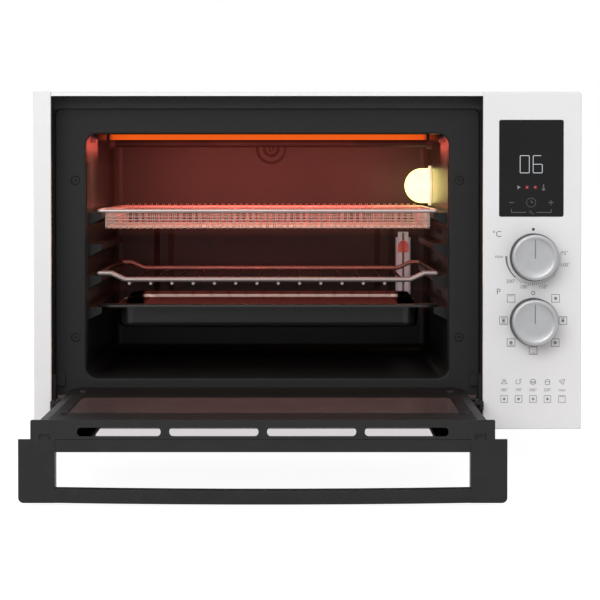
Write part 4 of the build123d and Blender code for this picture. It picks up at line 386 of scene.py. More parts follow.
def wool():
    surface = Surface("mineral_wool", srgb(200, 186, 140), 0.95)
    surface.vary(120, 0.7, 1.2, (1, 1, 3))
    return surface.rough(600, 0.0012, 1.0, (1, 1, 2), 6.0)


def rubber():
    """Pale grey rubber."""
    surface = Surface("rubber", srgb(226, 226, 226), 0.8)
    surface.vary(150, 0.95, 1.03)
    return surface.rough(1500, 0.0001, 0.7)


def circuit_board():
    surface = Surface("circuit_board", srgb(38, 92, 52), 0.45)
    surface.vary(250, 0.8, 1.25)
    return surface.rough(900, 0.0001, 0.6)


def dark_heater():
    surface = Surface("dark_heater", srgb(34, 30, 30), 0.6, 0.2)
    surface.vary(90, 0.7, 1.2, (0.3, 1, 1))
    return surface.rough(1400, 0.00005, 0.7)


def hot_heater():
    """A glowing tube, cooler at its two ends."""
    surface = Surface("hot_heater", srgb(50, 22, 14), 0.7, specular=0.2)
    low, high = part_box("grill_heater")
    middle, half = (low.x + high.x) / 2, (high.x - low.x) / 2
    along = surface.split(surface.coordinates())["X"]
    away = surface.compute("ABSOLUTE", surface.compute("SUBTRACT", along, middle))
    heat = surface.ramp(surface.compute("DIVIDE", away, half), [
        (0.0, srgb(236, 92, 20)), (0.7, srgb(236, 90, 20)), (0.78, srgb(224, 80, 18)),
        (0.80, srgb(150, 44, 12)), (0.86, srgb(30, 10, 6)),
    ])
    surface.feed("Emission Color", heat)
    surface.set("Emission Strength", 1.0)
    surface.vary(300, 0.7, 1.2, (0.3, 1, 1))
    return surface.rough(900, 0.00005, 0.6)


def lit_ring():
    """A bright steel ring, with the light of the lamp that it holds painted in as a glow."""
    surface = Surface("lit_ring", srgb(206, 186, 160), 0.3, 0.6)
    # painted light: a warm glow, though the ring is no lamp
    surface.glow(srgb(248, 228, 184), 0.9)
    surface.vary(200, 0.9, 1.05)
    return surface.rough(1500, 0.00002, 0.4)


def lamp_light():
    surface = Surface("lamp_light", srgb(255, 248, 205), 0.4)
    surface.glow(srgb(255, 244, 190), 3.0)
    surface.vary(40, 0.95, 1.02)
    return surface.rough(300, 0.00005, 0.3)


def lamp_glass():
    """Ribbed glass, lit from inside."""
    surface = Surface("lamp_glass", srgb(90, 86, 70), 0.3)
    surface.set("IOR", GLASS_IOR)
    surface.glow((1.0, 0.90, 0.30, 1.0), 2.6)
    surface.vary(60, 0.96, 1.04)
    return surface.rough(350, 0.0001, 0.5, (0.2, 1, 1))


def display_black():
    surface = Surface("display_black", srgb(29, 29, 30), 0.14, specular=0.12)
    surface.vary(20, 0.9, 1.1)
    return surface.rough(90, 0.00002, 0.3)


def silver_cap():
    """Turned aluminium."""
    surface = Surface("silver_cap", srgb(172, 173, 175), 0.42, 0.7)
    surface.set("Anisotropic", 0.5)
    surface.vary(70, 0.95, 1.04).vary_roughness(400, 0.36, 0.48)
    return surface.rough(1800, 0.00002, 0.5)


def inner_door_glass():
    surface = Surface("inner_door_glass", srgb(94, 85, 85), 0.22, specular=0.3)
    surface.set("Transmission Weight", 0.5)
    surface.set("IOR", GLASS_IOR)
    surface.vary(6, 0.9, 1.08).vary_roughness(40, 0.2, 0.25)
    return surface.rough(8, 0.00003, 0.1)


def outer_door_glass():
    """Glass with a black printed border round its clear window."""
    surface = Surface("outer_door_glass", srgb(80, 74, 72), 0.04)
    surface.set("IOR", GLASS_IOR)
    low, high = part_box("door_outer_glass")
    place = surface.split(surface.coordinates())
    left = surface.compute("GREATER_THAN", place["X"], low.x + BORDER_SIDE)
    right = surface.compute("LESS_THAN", place["X"], high.x - BORDER_SIDE)
    near = surface.compute("GREATER_THAN", place["Y"], low.y + BORDER_HINGE)
    far = surface.compute("LESS_THAN", place["Y"], high.y - BORDER_HANDLE)
    clear = left
    for test in (right, near, far):
        clear = surface.compute("MULTIPLY", clear, test)
    colors = surface.ramp(clear, [(0.4, srgb(24, 24, 25)), (0.6, srgb(226, 223, 221))])
    surface.feed("Base Color", colors)
    shine = surface.ramp(clear, [(0.4, grey(0.05)), (0.6, grey(0.5))])
    surface.feed("Specular IOR Level", shine)
    surface.feed("Transmission Weight", clear)
    open_part = surface.node("ShaderNodeBsdfTransparent", Color=srgb(240, 237, 238))
    both = surface.node("ShaderNodeMixShader")
    surface.link(surface.compute("MULTIPLY", clear, CLEAR_SHARE), both.inputs["Fac"])
    surface.link(surface.shader.outputs[0], both.inputs[1])
    surface.link(open_part.outputs[0], both.inputs[2])
    surface.link(both.outputs[0], surface.tree.nodes["Material Output"].inputs["Surface"])
    return surface.rough(8, 0.00002, 0.1)


def ink(name, color):
    """Matt printing on the white panel."""
    surface = Surface(name, color, 0.6)
    surface.vary(300, 0.92, 1.05)
    return surface.rough(3000, 0.00001, 0.4)


def print_grey():
    return ink("print_grey", srgb(120, 121, 123))


def print_dark():
    return ink("print_dark", srgb(60, 61, 63))


def ring_dark():
    surface = Surface("ring_dark", srgb(20, 20, 20), 0.7, specular=0.1)
    surface.vary(200, 0.9, 1.1)
    return surface.rough(600, 0.00001, 0.2)


def lit_sign(name, color, light, strength, dark=0.95, bright=1.03, specular=0.2):
    """A sign that shines through the dark window."""
    surface = Surface(name, color, specular=specular)
    surface.glow(light, strength)
    surface.vary(500, dark, bright)
    return surface.rough(3000, 0.00001, 0.3)


def light_segment():
    return lit_sign("light_segment", srgb(110, 112, 114), srgb(205, 209, 214), 0.8)


def red_segment():
    return lit_sign("red_segment", srgb(120, 50, 56), srgb(190, 80, 92), 0.8)


def red_halo():
    return lit_sign("red_halo", srgb(56, 30, 33), srgb(78, 22, 32), 0.5, 0.9, 1.05, 0.15)


def arrow_segment():
    return lit_sign("arrow_segment", srgb(110, 111, 112), srgb(120, 121, 122), 0.5)


def dim_segment():
    return lit_sign("dim_segment", srgb(98, 99, 101), srgb(100, 101, 103), 0.3)


FINISHES = {
    white_enamel: ["outer_casing"],
    white_plastic: ["control_panel", "feet", "terminal_block"],
    black_plastic: [
        "cord_gland", "rear_spacers", "temperature_knob", "program_knob", "selector_switch",
        "door_top_trim", "handle_base", "handle_grip", "handle_posts",
    ],
    black_frame: ["front_frame", "frame_screws", "hinge_brackets", "heater_clips"],
    black_door_enamel: ["door_inner_panel"],
    tray_enamel: ["baking_tray"],
    liner_enamel: ["oven_liner"],
    side_enamel: ["side_liner_left", "side_liner_right"],
    dull_steel: [
        "base_plate", "rear_cover", "heat_shield", "fan_housing", "fan_wheel", "fan_motor",
        "thermostat",
    ],
    rail_steel: ["door_side_rail_left", "door_side_rail_right"],
    screw_steel: ["casing_screws", "door_glass_clips", "temperature_shaft", "program_shaft"],
    dark_screws: ["door_screws", "hinge_pins", "door_hinge_bushes"],
    bright_wire: ["basket_mesh"],
    shade_painted_rods: ["wire_rack"],
    rim_steel: ["basket_rim"],
    guard_steel: ["sensor_guard"],
    ceramic: ["lamp_holder"],
    dark_ceramic: ["heater_collars"],
    wool: ["insulation_mat"],
    rubber: ["foot_pads"],
    bulb_steel: ["sensor_bulb"],
    circuit_board: ["display_board"],
    dark_heater: ["top_heater", "bottom_heaters"],
    hot_heater: ["grill_heater"],
    lit_ring: ["lamp_ring"],
    lamp_light: ["lamp_bulb"],
    lamp_glass: ["lamp_glass"],
    display_black: ["display_window"],
    silver_cap: ["temperature_knob_cap", "program_knob_cap"],
    inner_door_glass: ["door_inner_glass"],
    outer_door_glass: ["door_outer_glass"],
}
materials = {}


def material(make):
    """The material that a function makes, made once."""
    if make not in materials:
        materials[make] = make().material
    return materials[make]


def finish_nodes():
    """Give every carried-over node its finish."""
    for make, names in FINISHES.items():
        for name in names:
            nodes[name].data.materials.clear()
            nodes[name].data.materials.append(material(make))


# Small mesh tools


def piece(name, mesh, body, make):
    """A new piece from a bmesh, riding on a body."""
    data = bpy.data.meshes.new(name)
    mesh.to_mesh(data)
    mesh.free()
    made = bpy.data.objects.new(name, data)
    bpy.context.scene.collection.objects.link(made)
    data.materials.append(material(make))
    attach(made, body)
    return made


def add_tube(mesh, points, radius, sides):
    """A round wire along a run of points."""
    rings = []
    for index, point in enumerate(points):
        before = points[max(index - 1, 0)]
        after = points[min(index + 1, len(points) - 1)]
        along = (after - before).normalized()
        helper = Vector((0, 0, 1)) if abs(along.z) < 0.8 else Vector((0, 1, 0))
        if abs(along.y) > 0.8:
            helper = Vector((1, 0, 0))
        first = along.cross(helper).normalized()
        second = along.cross(first)
        ring = []
        for n in range(sides):
            angle = 2 * math.pi * (n + 0.5) / sides
            out = math.cos(angle) * first + math.sin(angle) * second
            ring.append(mesh.verts.new(point + radius * out))
        rings.append(ring)
    for a, b in zip(rings, rings[1:]):
        for n in range(sides):
            mesh.faces.new((a[n], a[(n + 1) % sides], b[(n + 1) % sides], b[n]))
    mesh.faces.new(rings[0])
    mesh.faces.new(tuple(reversed(rings[-1])))


def smooth(obj, angle):
    """Smooth shading but for edges sharper than an angle in degrees."""
    data = obj.data
    data.polygons.foreach_set("use_smooth", [True] * len(data.polygons))
    data.set_sharp_from_angle(angle=math.radians(angle))


# Flat shapes on a plane that faces the viewer: places are (x, z)

# How far printing stands off what it is printed on
PRINT_LIFT = 0.06 * MM

# A capital's height as a share of the lettering's size
CAPITAL_SHARE = 0.73
FAN_BLADES_DEG = (20, 65, 110, 155)


def flat_face(mesh, corners, y):
    """One face from (x, z) corners, anticlockwise seen from the front."""
    mesh.faces.new([mesh.verts.new((x, y, z)) for x, z in corners])


def stroke(mesh, start, end, width, y):
    """A straight line of a given width."""
    (x0, z0), (x1, z1) = start, end
    length = math.hypot(x1 - x0, z1 - z0)
    nx, nz = -(z1 - z0) / length * width / 2, (x1 - x0) / length * width / 2
    corners = [(x0 + nx, z0 + nz), (x0 - nx, z0 - nz), (x1 - nx, z1 - nz), (x1 + nx, z1 + nz)]
    flat_face(mesh, corners, y)


def level_stroke(mesh, centre, reach, width, y):
    """A level line that reaches equally far to both sides of a point."""
    x, z = centre
    stroke(mesh, (x - reach, z), (x + reach, z), width, y)


def strokes(mesh, points, width, y, closed=False):
    """A run of lines with round joints."""
    nexts = points[1:] + points[:1] if closed else points[1:]
    for start, end in zip(points, nexts):
        stroke(mesh, start, end, width, y)
    for point in points:
        disc(mesh, point, width / 2, y, 10)


def disc(mesh, centre, radius, y, sides=24):
    """A filled circle."""
    corners = [
        (centre[0] + radius * math.cos(2 * math.pi * n / sides),
         centre[1] + radius * math.sin(2 * math.pi * n / sides))
        for n in range(sides)
    ]
    flat_face(mesh, corners, y)


def around(centre, radius, degrees):
    """A point on a circle; angles run clockwise from the top, as on a dial."""
    angle = math.radians(degrees)
    return (centre[0] + radius * math.sin(angle), centre[1] + radius * math.cos(angle))


def arc_points(centre, radius, start_deg, end_deg, count):
    """Points on a circle, from one angle to another."""
    turn = end_deg - start_deg
    return [around(centre, radius, start_deg + turn * n / count) for n in range(count + 1)]


def words(mesh, text, centre, height, y):
    """Lettering centred on a point; height is that of a capital."""
    curve = bpy.data.curves.new("lettering", "FONT")
    curve.body = text
    curve.align_x = "CENTER"
    curve.align_y = "CENTER"
    curve.size = height / CAPITAL_SHARE
    holder = bpy.data.objects.new("lettering", curve)
    bpy.context.scene.collection.objects.link(holder)
    bpy.context.view_layer.update()
    data = bpy.data.meshes.new_from_object(holder)
    turn = Matrix.Translation((centre[0], y, centre[1])) @ Matrix.Rotation(math.pi / 2, 4, "X")
    data.transform(turn)
    mesh.from_mesh(data)
    bpy.data.meshes.remove(data)
    bpy.data.objects.remove(holder)
    bpy.data.curves.remove(curve)


def box_outline(mesh, centre, size, line, y):
    """A square drawn with thin lines."""
    half = size / 2
    x0, x1 = centre[0] - half, centre[0] + half
    z0, z1 = centre[1] - half, centre[1] + half
    strokes(mesh, [(x0, z0), (x1, z0), (x1, z1), (x0, z1)], line, y, True)


def fan_mark(mesh, centre, size, line, y):
    """Crossed blades, the usual sign for a fan."""
    x, z = centre
    for angle in FAN_BLADES_DEG:
        dx = size * math.cos(math.radians(angle))
        dz = size * math.sin(math.radians(angle))
        stroke(mesh, (x - dx, z - dz), (x + dx, z + dz), line, y)


# The screws of the front frame

SCREW_HEAD = 4.5 * MM
SCREW_CROSS = 4.2 * MM
RING_LINE = 0.45 * MM


def ring_frame_screws():
    """The dark gap round each screw of the front frame, and the cross in its head."""
    low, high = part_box("frame_screws")
    y = low.y - PRINT_LIFT
    mesh = bmesh.new()
    for x in (low.x + SCREW_HEAD, high.x - SCREW_HEAD):
        for z in (low.z + SCREW_HEAD, high.z - SCREW_HEAD):
            ring = arc_points((x, z), SCREW_HEAD - RING_LINE, 0, 350, 35)
            strokes(mesh, ring, RING_LINE, y, True)
            words(mesh, "+", (x, z), SCREW_CROSS, y)
    piece("frame_screw_gaps", mesh, "oven", ring_dark)


# Printing on the panel. Sizes in the tables are in millimetres from a knob's centre.

TICK_INNER = 25.8 * MM
TICK_OUTER = 27.8 * MM
TICK_EXTRA = 0.9 * MM
TICK_LINE = 0.42 * MM
TICK_FIRST_DEG, TICK_LAST_DEG = 81.6, 214.6
TICK_COUNT = 32
LONG_TICK_EVERY = 6

BAND_RADIUS = 26.6 * MM
BAND_START_DEG, BAND_TURN_DEG = 220, 52
BAND_STEPS = 26
BAND_THIN, BAND_GROWTH = 0.5, 0.5

ZERO_DOT = 1.5 * MM
ZERO_DOT_RADIUS = 27.3 * MM

# Text, angle in degrees and radius
DIAL_NUMBERS = [
    ("75°", 83.0, 31.2), ("100°", 104.0, 32.6), ("150°", 161.0, 31.2),
    ("180°", 196.2, 30.8), ("200°", 222.4, 32.6),
]
DIAL_LETTER = 3.7 * MM

# Text, place and height
TEMPERATURE_WORDS = [("max", -33.8, 0.6, 3.4), ("°C", -35.8, 22.4, 6.2)]
PROGRAM_WORDS = [("P", -34.3, 29.2, 6.0)]

# Place and what is on: the fan, the upper heater, the lower heater
PROGRAM_SIGNS = [
    (-21.8, 22.8, ["top"]), (22.1, 22.8, ["fan"]), (-29.2, 0.9, ["fan", "top", "low"]),
    (29.4, 0.9, ["fan", "top"]), (-21.8, -20.9, ["fan", "low"]), (21.8, -20.9, ["fan"]),
    (0.0, -28.8, ["low"]),
]
SIGN_BOX = 7.6 * MM
SIGN_LINE = 0.55 * MM
SIGN_FAN = 2.0 * MM
SIGN_FAN_LINE = 0.6 * MM
SIGN_BAR = 2.5 * MM

OFF_RING = 1.6 * MM
OFF_RING_RISE = 28.0 * MM
OFF_RING_LINE = 0.6 * MM


def knob_centre(name):
    """The middle of a knob on the panel's face."""
    x, _, z = middle_of(name)
    return (x, z)


def words_beside(mesh, centre, table, y):
    """Lettering at places measured from a knob's centre."""
    for text, dx, dz, height in table:
        words(mesh, text, (centre[0] + dx * MM, centre[1] + dz * MM), height * MM, y)


def print_temperature_dial():
    """Numbers, ticks and the band up to the highest setting."""
    y = FRONT_Y - PRINT_LIFT
    centre = knob_centre("temperature_knob")
    mesh = bmesh.new()
    disc(mesh, around(centre, ZERO_DOT_RADIUS, 0), ZERO_DOT, y)
    piece("temperature_zero_dot", mesh, "oven", print_dark)

    mesh = bmesh.new()
    for n in range(TICK_COUNT + 1):
        angle = TICK_FIRST_DEG + (TICK_LAST_DEG - TICK_FIRST_DEG) * n / TICK_COUNT
        outer = TICK_OUTER + (TICK_EXTRA if n % LONG_TICK_EVERY == 0 else 0)
        ends = around(centre, TICK_INNER, angle), around(centre, outer, angle)
        stroke(mesh, *ends, TICK_LINE, y)

    def band_end(n):
        share = n / BAND_STEPS
        half = (BAND_THIN + BAND_GROWTH * share) * MM
        angle = BAND_START_DEG + BAND_TURN_DEG * n / BAND_STEPS
        return around(centre, BAND_RADIUS + half, angle), around(centre, BAND_RADIUS - half, angle)

    for n in range(BAND_STEPS):
        (outer0, inner0), (outer1, inner1) = band_end(n), band_end(n + 1)
        flat_face(mesh, [outer0, inner0, inner1, outer1], y)
    for text, angle, radius in DIAL_NUMBERS:
        words(mesh, text, around(centre, radius * MM, angle), DIAL_LETTER, y)
    words_beside(mesh, centre, TEMPERATURE_WORDS, y)
    piece("temperature_scale", mesh, "oven", print_grey)


def print_program_dial():
    """Signs for the oven's ways of heating round the lower knob."""
    y = FRONT_Y - PRINT_LIFT
    mesh = bmesh.new()
    centre = knob_centre("program_knob")
    words_beside(mesh, centre, PROGRAM_WORDS, y)
    ring = arc_points((centre[0], centre[1] + OFF_RING_RISE), OFF_RING, 0, 345, 23)
    strokes(mesh, ring, OFF_RING_LINE, y, True)
    for dx, dz, shown in PROGRAM_SIGNS:
        x, z = centre[0] + dx * MM, centre[1] + dz * MM
        box_outline(mesh, (x, z), SIGN_BOX, SIGN_LINE, y)
        if "fan" in shown:
            fan_mark(mesh, (x, z), SIGN_FAN, SIGN_FAN_LINE, y)
        if "top" in shown:
            level_stroke(mesh, (x, z + SIGN_BAR), SIGN_BAR, SIGN_LINE, y)
        if "low" in shown:
            level_stroke(mesh, (x, z - SIGN_BAR), SIGN_BAR, SIGN_LINE, y)
    piece("program_signs", mesh, "oven", print_grey)


# The row of foods under the knobs

TABLE_PITCH = 14.25 * MM
FOOD_RISE = 46.8 * MM
NUMBER_RISE = 38.7 * MM
BOX_RISE = 29.8 * MM
FOOD_SIZE = 2.8 * MM
TABLE_LINE = 0.5 * MM
TABLE_LETTER = 2.9 * MM
TABLE_BOX = 6.6 * MM
TABLE_FAN = 1.6 * MM
TABLE_BAR = 2.2 * MM


def food_pens(mesh, x, z, y):
    """A line pen and an arc pen whose places are shares of a food sign's size."""
    def place(dx, dz):
        return (x + dx * FOOD_SIZE, z + dz * FOOD_SIZE)

    def lines(*shares, width=TABLE_LINE):
        strokes(mesh, [place(dx, dz) for dx, dz in shares], width, y)

    def arc(dx, dz, radius, start_deg, end_deg, count, closed=False):
        points = arc_points(place(dx, dz), radius * FOOD_SIZE, start_deg, end_deg, count)
        strokes(mesh, points, TABLE_LINE, y, closed)

    def bar(start, end, width=TABLE_LINE):
        stroke(mesh, place(*start), place(*end), width, y)

    return lines, arc, bar


def draw_dish(mesh, x, z, y):
    """A covered dish with steam over it."""
    lines, arc, bar = food_pens(mesh, x, z, y)
    lines((-1, -0.7), (1, -0.7))
    arc(0, -0.7, 0.9, -90, 90, 10)
    for dx in (-0.4, 0, 0.4):
        bar((dx, 0.2), (dx, 1))


def draw_drumstick(mesh, x, z, y):
    _, arc, bar = food_pens(mesh, x, z, y)
    arc(-0.2, 0, 0.8, 40, 330, 14)
    bar((0.3, 0.6), (1, 1), TABLE_LINE * 1.4)


def draw_bun(mesh, x, z, y):
    lines, arc, _ = food_pens(mesh, x, z, y)
    arc(0, 0, 0.95, 0, 350, 20, True)
    lines((-0.9, 0), (0.9, 0))
    lines((-0.8, -0.35), (0.8, -0.35))


def draw_muffin(mesh, x, z, y):
    lines, arc, _ = food_pens(mesh, x, z, y)
    lines((-0.6, -1), (0.6, -1), (0.9, 0))
    lines((-0.6, -1), (-0.9, 0), (0.9, 0))
    arc(0, 0, 0.85, -80, 80, 10)


def draw_slice(mesh, x, z, y):
    """A slice of pizza."""
    lines, _, _ = food_pens(mesh, x, z, y)
    lines((-1, 0.3), (1, 0.9), (0.4, -1))
    lines((0.4, -1), (-1, 0.3))
    disc(mesh, (x, z), 0.5 * MM, y, 12)


FOODS = [
    (draw_dish, "180°"), (draw_drumstick, "190°"), (draw_bun, "200°"), (draw_muffin, "220°"),
    (draw_slice, "max"),
]


def print_food_table():
    """A row of foods with a temperature and a heating sign under each."""
    y = FRONT_Y - PRINT_LIFT
    mesh = bmesh.new()
    middle = knob_centre("program_knob")[0]
    for n, (draw, number) in enumerate(FOODS):
        x = middle + (n - (len(FOODS) - 1) / 2) * TABLE_PITCH
        draw(mesh, x, CASE_BOTTOM + FOOD_RISE, y)
        words(mesh, number, (x, CASE_BOTTOM + NUMBER_RISE), TABLE_LETTER, y)
        z = CASE_BOTTOM + BOX_RISE
        box_outline(mesh, (x, z), TABLE_BOX, TABLE_LINE, y)
        if draw is draw_slice:
            level_stroke(mesh, (x, z + TABLE_BAR), TABLE_BAR, TABLE_LINE, y)
        else:
            fan_mark(mesh, (x, z), TABLE_FAN, TABLE_LINE, y)
    piece("food_table", mesh, "oven", print_grey)


# Signs on the display. Places are millimetres from the window's middle and below its top edge.

FIGURE_WIDTH = 9.0 * MM
FIGURE_HEIGHT = 17.0 * MM
FIGURE_CORNER = 0.5 * MM
FIGURE_GAP = 3.8 * MM
FIGURE_SHIFT = 0.2 * MM
FIGURE_DROP = 35.2 * MM
FIGURE_LINE = 0.62 * MM
SIX_ARM_SHORT = 1.4 * MM

LIGHT_DROP = 66.4 * MM
LIGHT_SHIFTS = (-4.3 * MM, 3.9 * MM)
HALO_RADIUS = 2.2 * MM
LIGHT_RADIUS = 1.0 * MM
ARROW_SHIFT = 13.7 * MM
ARROW_LENGTH = 3.2 * MM
ARROW_HALF = 1.9 * MM
METER_SHIFT = 12.0 * MM
METER_LINE = 1.0 * MM
METER_BULB = 1.5 * MM

TOUCH_DROP = 81.4 * MM
SIGN_THIN = 0.5 * MM
MINUS_FROM, MINUS_TO = 22.0 * MM, 16.9 * MM
PLUS_SHIFT = 19.3 * MM
PLUS_REACH = 2.7 * MM
CLOCK_SHIFT = 0.2 * MM
CLOCK_RADIUS = 4.5 * MM
CLOCK_HANDS = (2.6 * MM, 1.9 * MM)

BRACE_DROP = 91.1 * MM
BRACE_TURN = 3.0 * MM
BRACE_LEFT = (-19.7 * MM, -5.2 * MM)
BRACE_RIGHT = (19.6 * MM, 5.0 * MM)
LENS_PLACE = (-1.0 * MM, 0.6 * MM)
LENS_RADIUS = 1.1 * MM
LENS_HANDLE = ((-0.1 * MM, 0.0), (2.0 * MM, -1.8 * MM))


def cut_corners(x0, x1, z0, z1):
    """A rectangle's outline with its corners cut off."""
    cut = FIGURE_CORNER
    return [
        (x0 + cut, z0), (x1 - cut, z0), (x1, z0 + cut), (x1, z1 - cut),
        (x1 - cut, z1), (x0 + cut, z1), (x0, z1 - cut), (x0, z0 + cut),
    ]


def show_figures(middle, top, y):
    """A nought and a six."""
    mesh = bmesh.new()
    z1 = top - FIGURE_DROP
    z0 = z1 - FIGURE_HEIGHT
    left = middle - FIGURE_WIDTH - FIGURE_GAP / 2 - FIGURE_SHIFT
    right = middle + FIGURE_GAP / 2 - FIGURE_SHIFT
    nought = cut_corners(left, left + FIGURE_WIDTH, z0, z1)
    six = cut_corners(right, right + FIGURE_WIDTH, z0, (z0 + z1) / 2)
    arm = [
        (right, z0 + FIGURE_CORNER), (right, z1 - FIGURE_CORNER), (right + FIGURE_CORNER, z1),
        (right + FIGURE_WIDTH - SIX_ARM_SHORT, z1),
    ]
    strokes(mesh, nought, FIGURE_LINE, y, True)
    strokes(mesh, six, FIGURE_LINE, y, True)
    strokes(mesh, arm, FIGURE_LINE, y)
    piece("display_figures", mesh, "oven", light_segment)


def show_lights(middle, z, y):
    """Two red lights in faint halos, and an arrow."""
    looks = (("halos", HALO_RADIUS, 0, red_halo), ("lights", LIGHT_RADIUS, 1, red_segment))
    for name, radius, lift, make in looks:
        mesh = bmesh.new()
        for shift in LIGHT_SHIFTS:
            disc(mesh, (middle + shift, z), radius, y - lift * PRINT_LIFT)
        piece("display_" + name, mesh, "oven", make)

    mesh = bmesh.new()
    tail = middle - ARROW_SHIFT
    flat_face(mesh, [(tail, z - ARROW_HALF), (tail + ARROW_LENGTH, z), (tail, z + ARROW_HALF)], y)
    piece("display_arrow", mesh, "oven", arrow_segment)


def show_signs(middle, top, y):
    """Thermometer, minus, clock and plus, and the brace with a lens under them."""
    mesh = bmesh.new()
    meter, z = middle + METER_SHIFT, top - LIGHT_DROP
    stroke(mesh, (meter, z - 2.0 * MM), (meter, z + 3.0 * MM), METER_LINE, y)
    disc(mesh, (meter, z - 1.8 * MM), METER_BULB, y, 14)

    z = top - TOUCH_DROP
    stroke(mesh, (middle - MINUS_FROM, z), (middle - MINUS_TO, z), SIGN_THIN, y)
    plus = middle + PLUS_SHIFT
    level_stroke(mesh, (plus, z), PLUS_REACH, SIGN_THIN, y)
    stroke(mesh, (plus, z - PLUS_REACH), (plus, z + PLUS_REACH), SIGN_THIN, y)
    clock = (middle - CLOCK_SHIFT, z)
    strokes(mesh, arc_points(clock, CLOCK_RADIUS, 0, 350, 35), SIGN_THIN, y, True)
    up, aside = CLOCK_HANDS
    strokes(mesh, [(clock[0], z + up), clock, (clock[0] + aside, z)], SIGN_THIN, y)

    z = top - BRACE_DROP
    for outer, inner in (BRACE_LEFT, BRACE_RIGHT):
        run = [(middle + outer, z + BRACE_TURN), (middle + outer, z), (middle + inner, z)]
        strokes(mesh, run, SIGN_THIN, y)
    lens = (middle + LENS_PLACE[0], z + LENS_PLACE[1])
    strokes(mesh, arc_points(lens, LENS_RADIUS, 0, 330, 14), SIGN_THIN, y, True)
    ends = [(middle + dx, z + dz) for dx, dz in LENS_HANDLE]
    stroke(mesh, *ends, SIGN_THIN, y)
    piece("display_signs", mesh, "oven", dim_segment)


def show_display():
    """Figures and signs on the dark window."""
    y = display_low.y - PRINT_LIFT
    middle = middle_of("display_window")[0]
    top = display_high.z
    show_figures(middle, top, y)
    show_lights(middle, top - LIGHT_DROP, y)
    show_signs(middle, top, y)


# Knob caps: turned discs with a bright rim and a shallow dish

CAP_SIDES = 96

# How far in from the edge, and how far behind the front, in millimetres
CAP_RIM = [
    (0.0, 1.9), (0.25, 1.1), (0.8, 0.45), (1.6, 0.12), (2.6, 0.0), (4.0, 0.1), (4.6, 0.45),
    (5.6, 0.75),
]

# The same in the dish, from the middle as a share of the radius
CAP_DISH = [(0.55, 1.0), (0.3, 1.1)]
CAP_MIDDLE = (0.4 * MM, 1.15 * MM)

# The line that shows the setting, from under the centre towards the edge
LINE_WIDTH = 0.8 * MM
LINE_DEPTH = 1.1 * MM
LINE_BACK = 1.1 * MM
LINE_START = -0.8 * MM
LINE_END_INSET = 4.4 * MM


def turned_cap(name, cad_node, body):
    """A cap turned from a profile, with a line that shows the setting."""
    low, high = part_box(cad_node)
    cx, _, cz = middle_of(cad_node)
    radius = (high.x - low.x) / 2
    profile = [(radius, high.y - low.y)]
    profile += [(radius - inset * MM, back * MM) for inset, back in CAP_RIM]
    profile += [(radius * share, back * MM) for share, back in CAP_DISH]
    profile.append(CAP_MIDDLE)
    mesh = bmesh.new()
    rings = []
    for r, back in profile:
        ring = []
        for n in range(CAP_SIDES):
            angle = 2 * math.pi * n / CAP_SIDES
            x, z = cx + r * math.cos(angle), cz + r * math.sin(angle)
            ring.append(mesh.verts.new((x, low.y + back, z)))
        rings.append(ring)
    for a, b in zip(rings, rings[1:]):
        for n in range(CAP_SIDES):
            after = (n + 1) % CAP_SIDES
            mesh.faces.new((a[n], b[n], b[after], a[after]))
    mesh.faces.new(list(reversed(rings[-1])))
    mesh.faces.new(rings[0])
    bmesh.ops.recalc_face_normals(mesh, faces=mesh.faces)
    cap = piece(name, mesh, body, silver_cap)
    smooth(cap, 50)
    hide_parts(cad_node)

    line = bmesh.new()
    start, end = LINE_START, radius - LINE_END_INSET
    place = Matrix.Translation((cx, low.y + LINE_BACK, cz + (start + end) / 2))
    size = Matrix.Diagonal((LINE_WIDTH, LINE_DEPTH, end - start, 1))
    bmesh.ops.create_cube(line, size=1.0, matrix=place @ size)
    piece(name + "_line", line, body, print_grey)


# The basket's woven wire

WEAVE_PITCH = 6.75 * MM
WEAVE_PAIR = 1.95 * MM
WEAVE_ROW = 3.37 * MM
WEAVE_WIRE = 0.42 * MM
WEAVE_BEND = 2.6 * MM
FIRST_ROW_RISE = 2.4 * MM
HOOK_RISE = 1.2 * MM
HOOK_DROP = 0.6 * MM
HOOK_REACH = 1.6
RIM_ROD = 1.7 * MM
BASKET_SIDE = 8.75 * MM
EAR_COUNT = 12
WIRE_SIDES = 6
CROSS_WIRE_SIDES = 5


def pan_wire(start, end, top, bottom, over):
    """Points of a wire down one wall, across and up the other; over is how far out its hooks go."""
    bend = WEAVE_BEND
    half = [
        (start - over * HOOK_REACH, top - HOOK_DROP), (start - over, top + HOOK_RISE),
        (start, top), (start, bottom + bend), (start + bend * 0.3, bottom + bend * 0.3),
        (start + bend, bottom),
    ]
    return half + [(start + end - place, height) for place, height in reversed(half)]


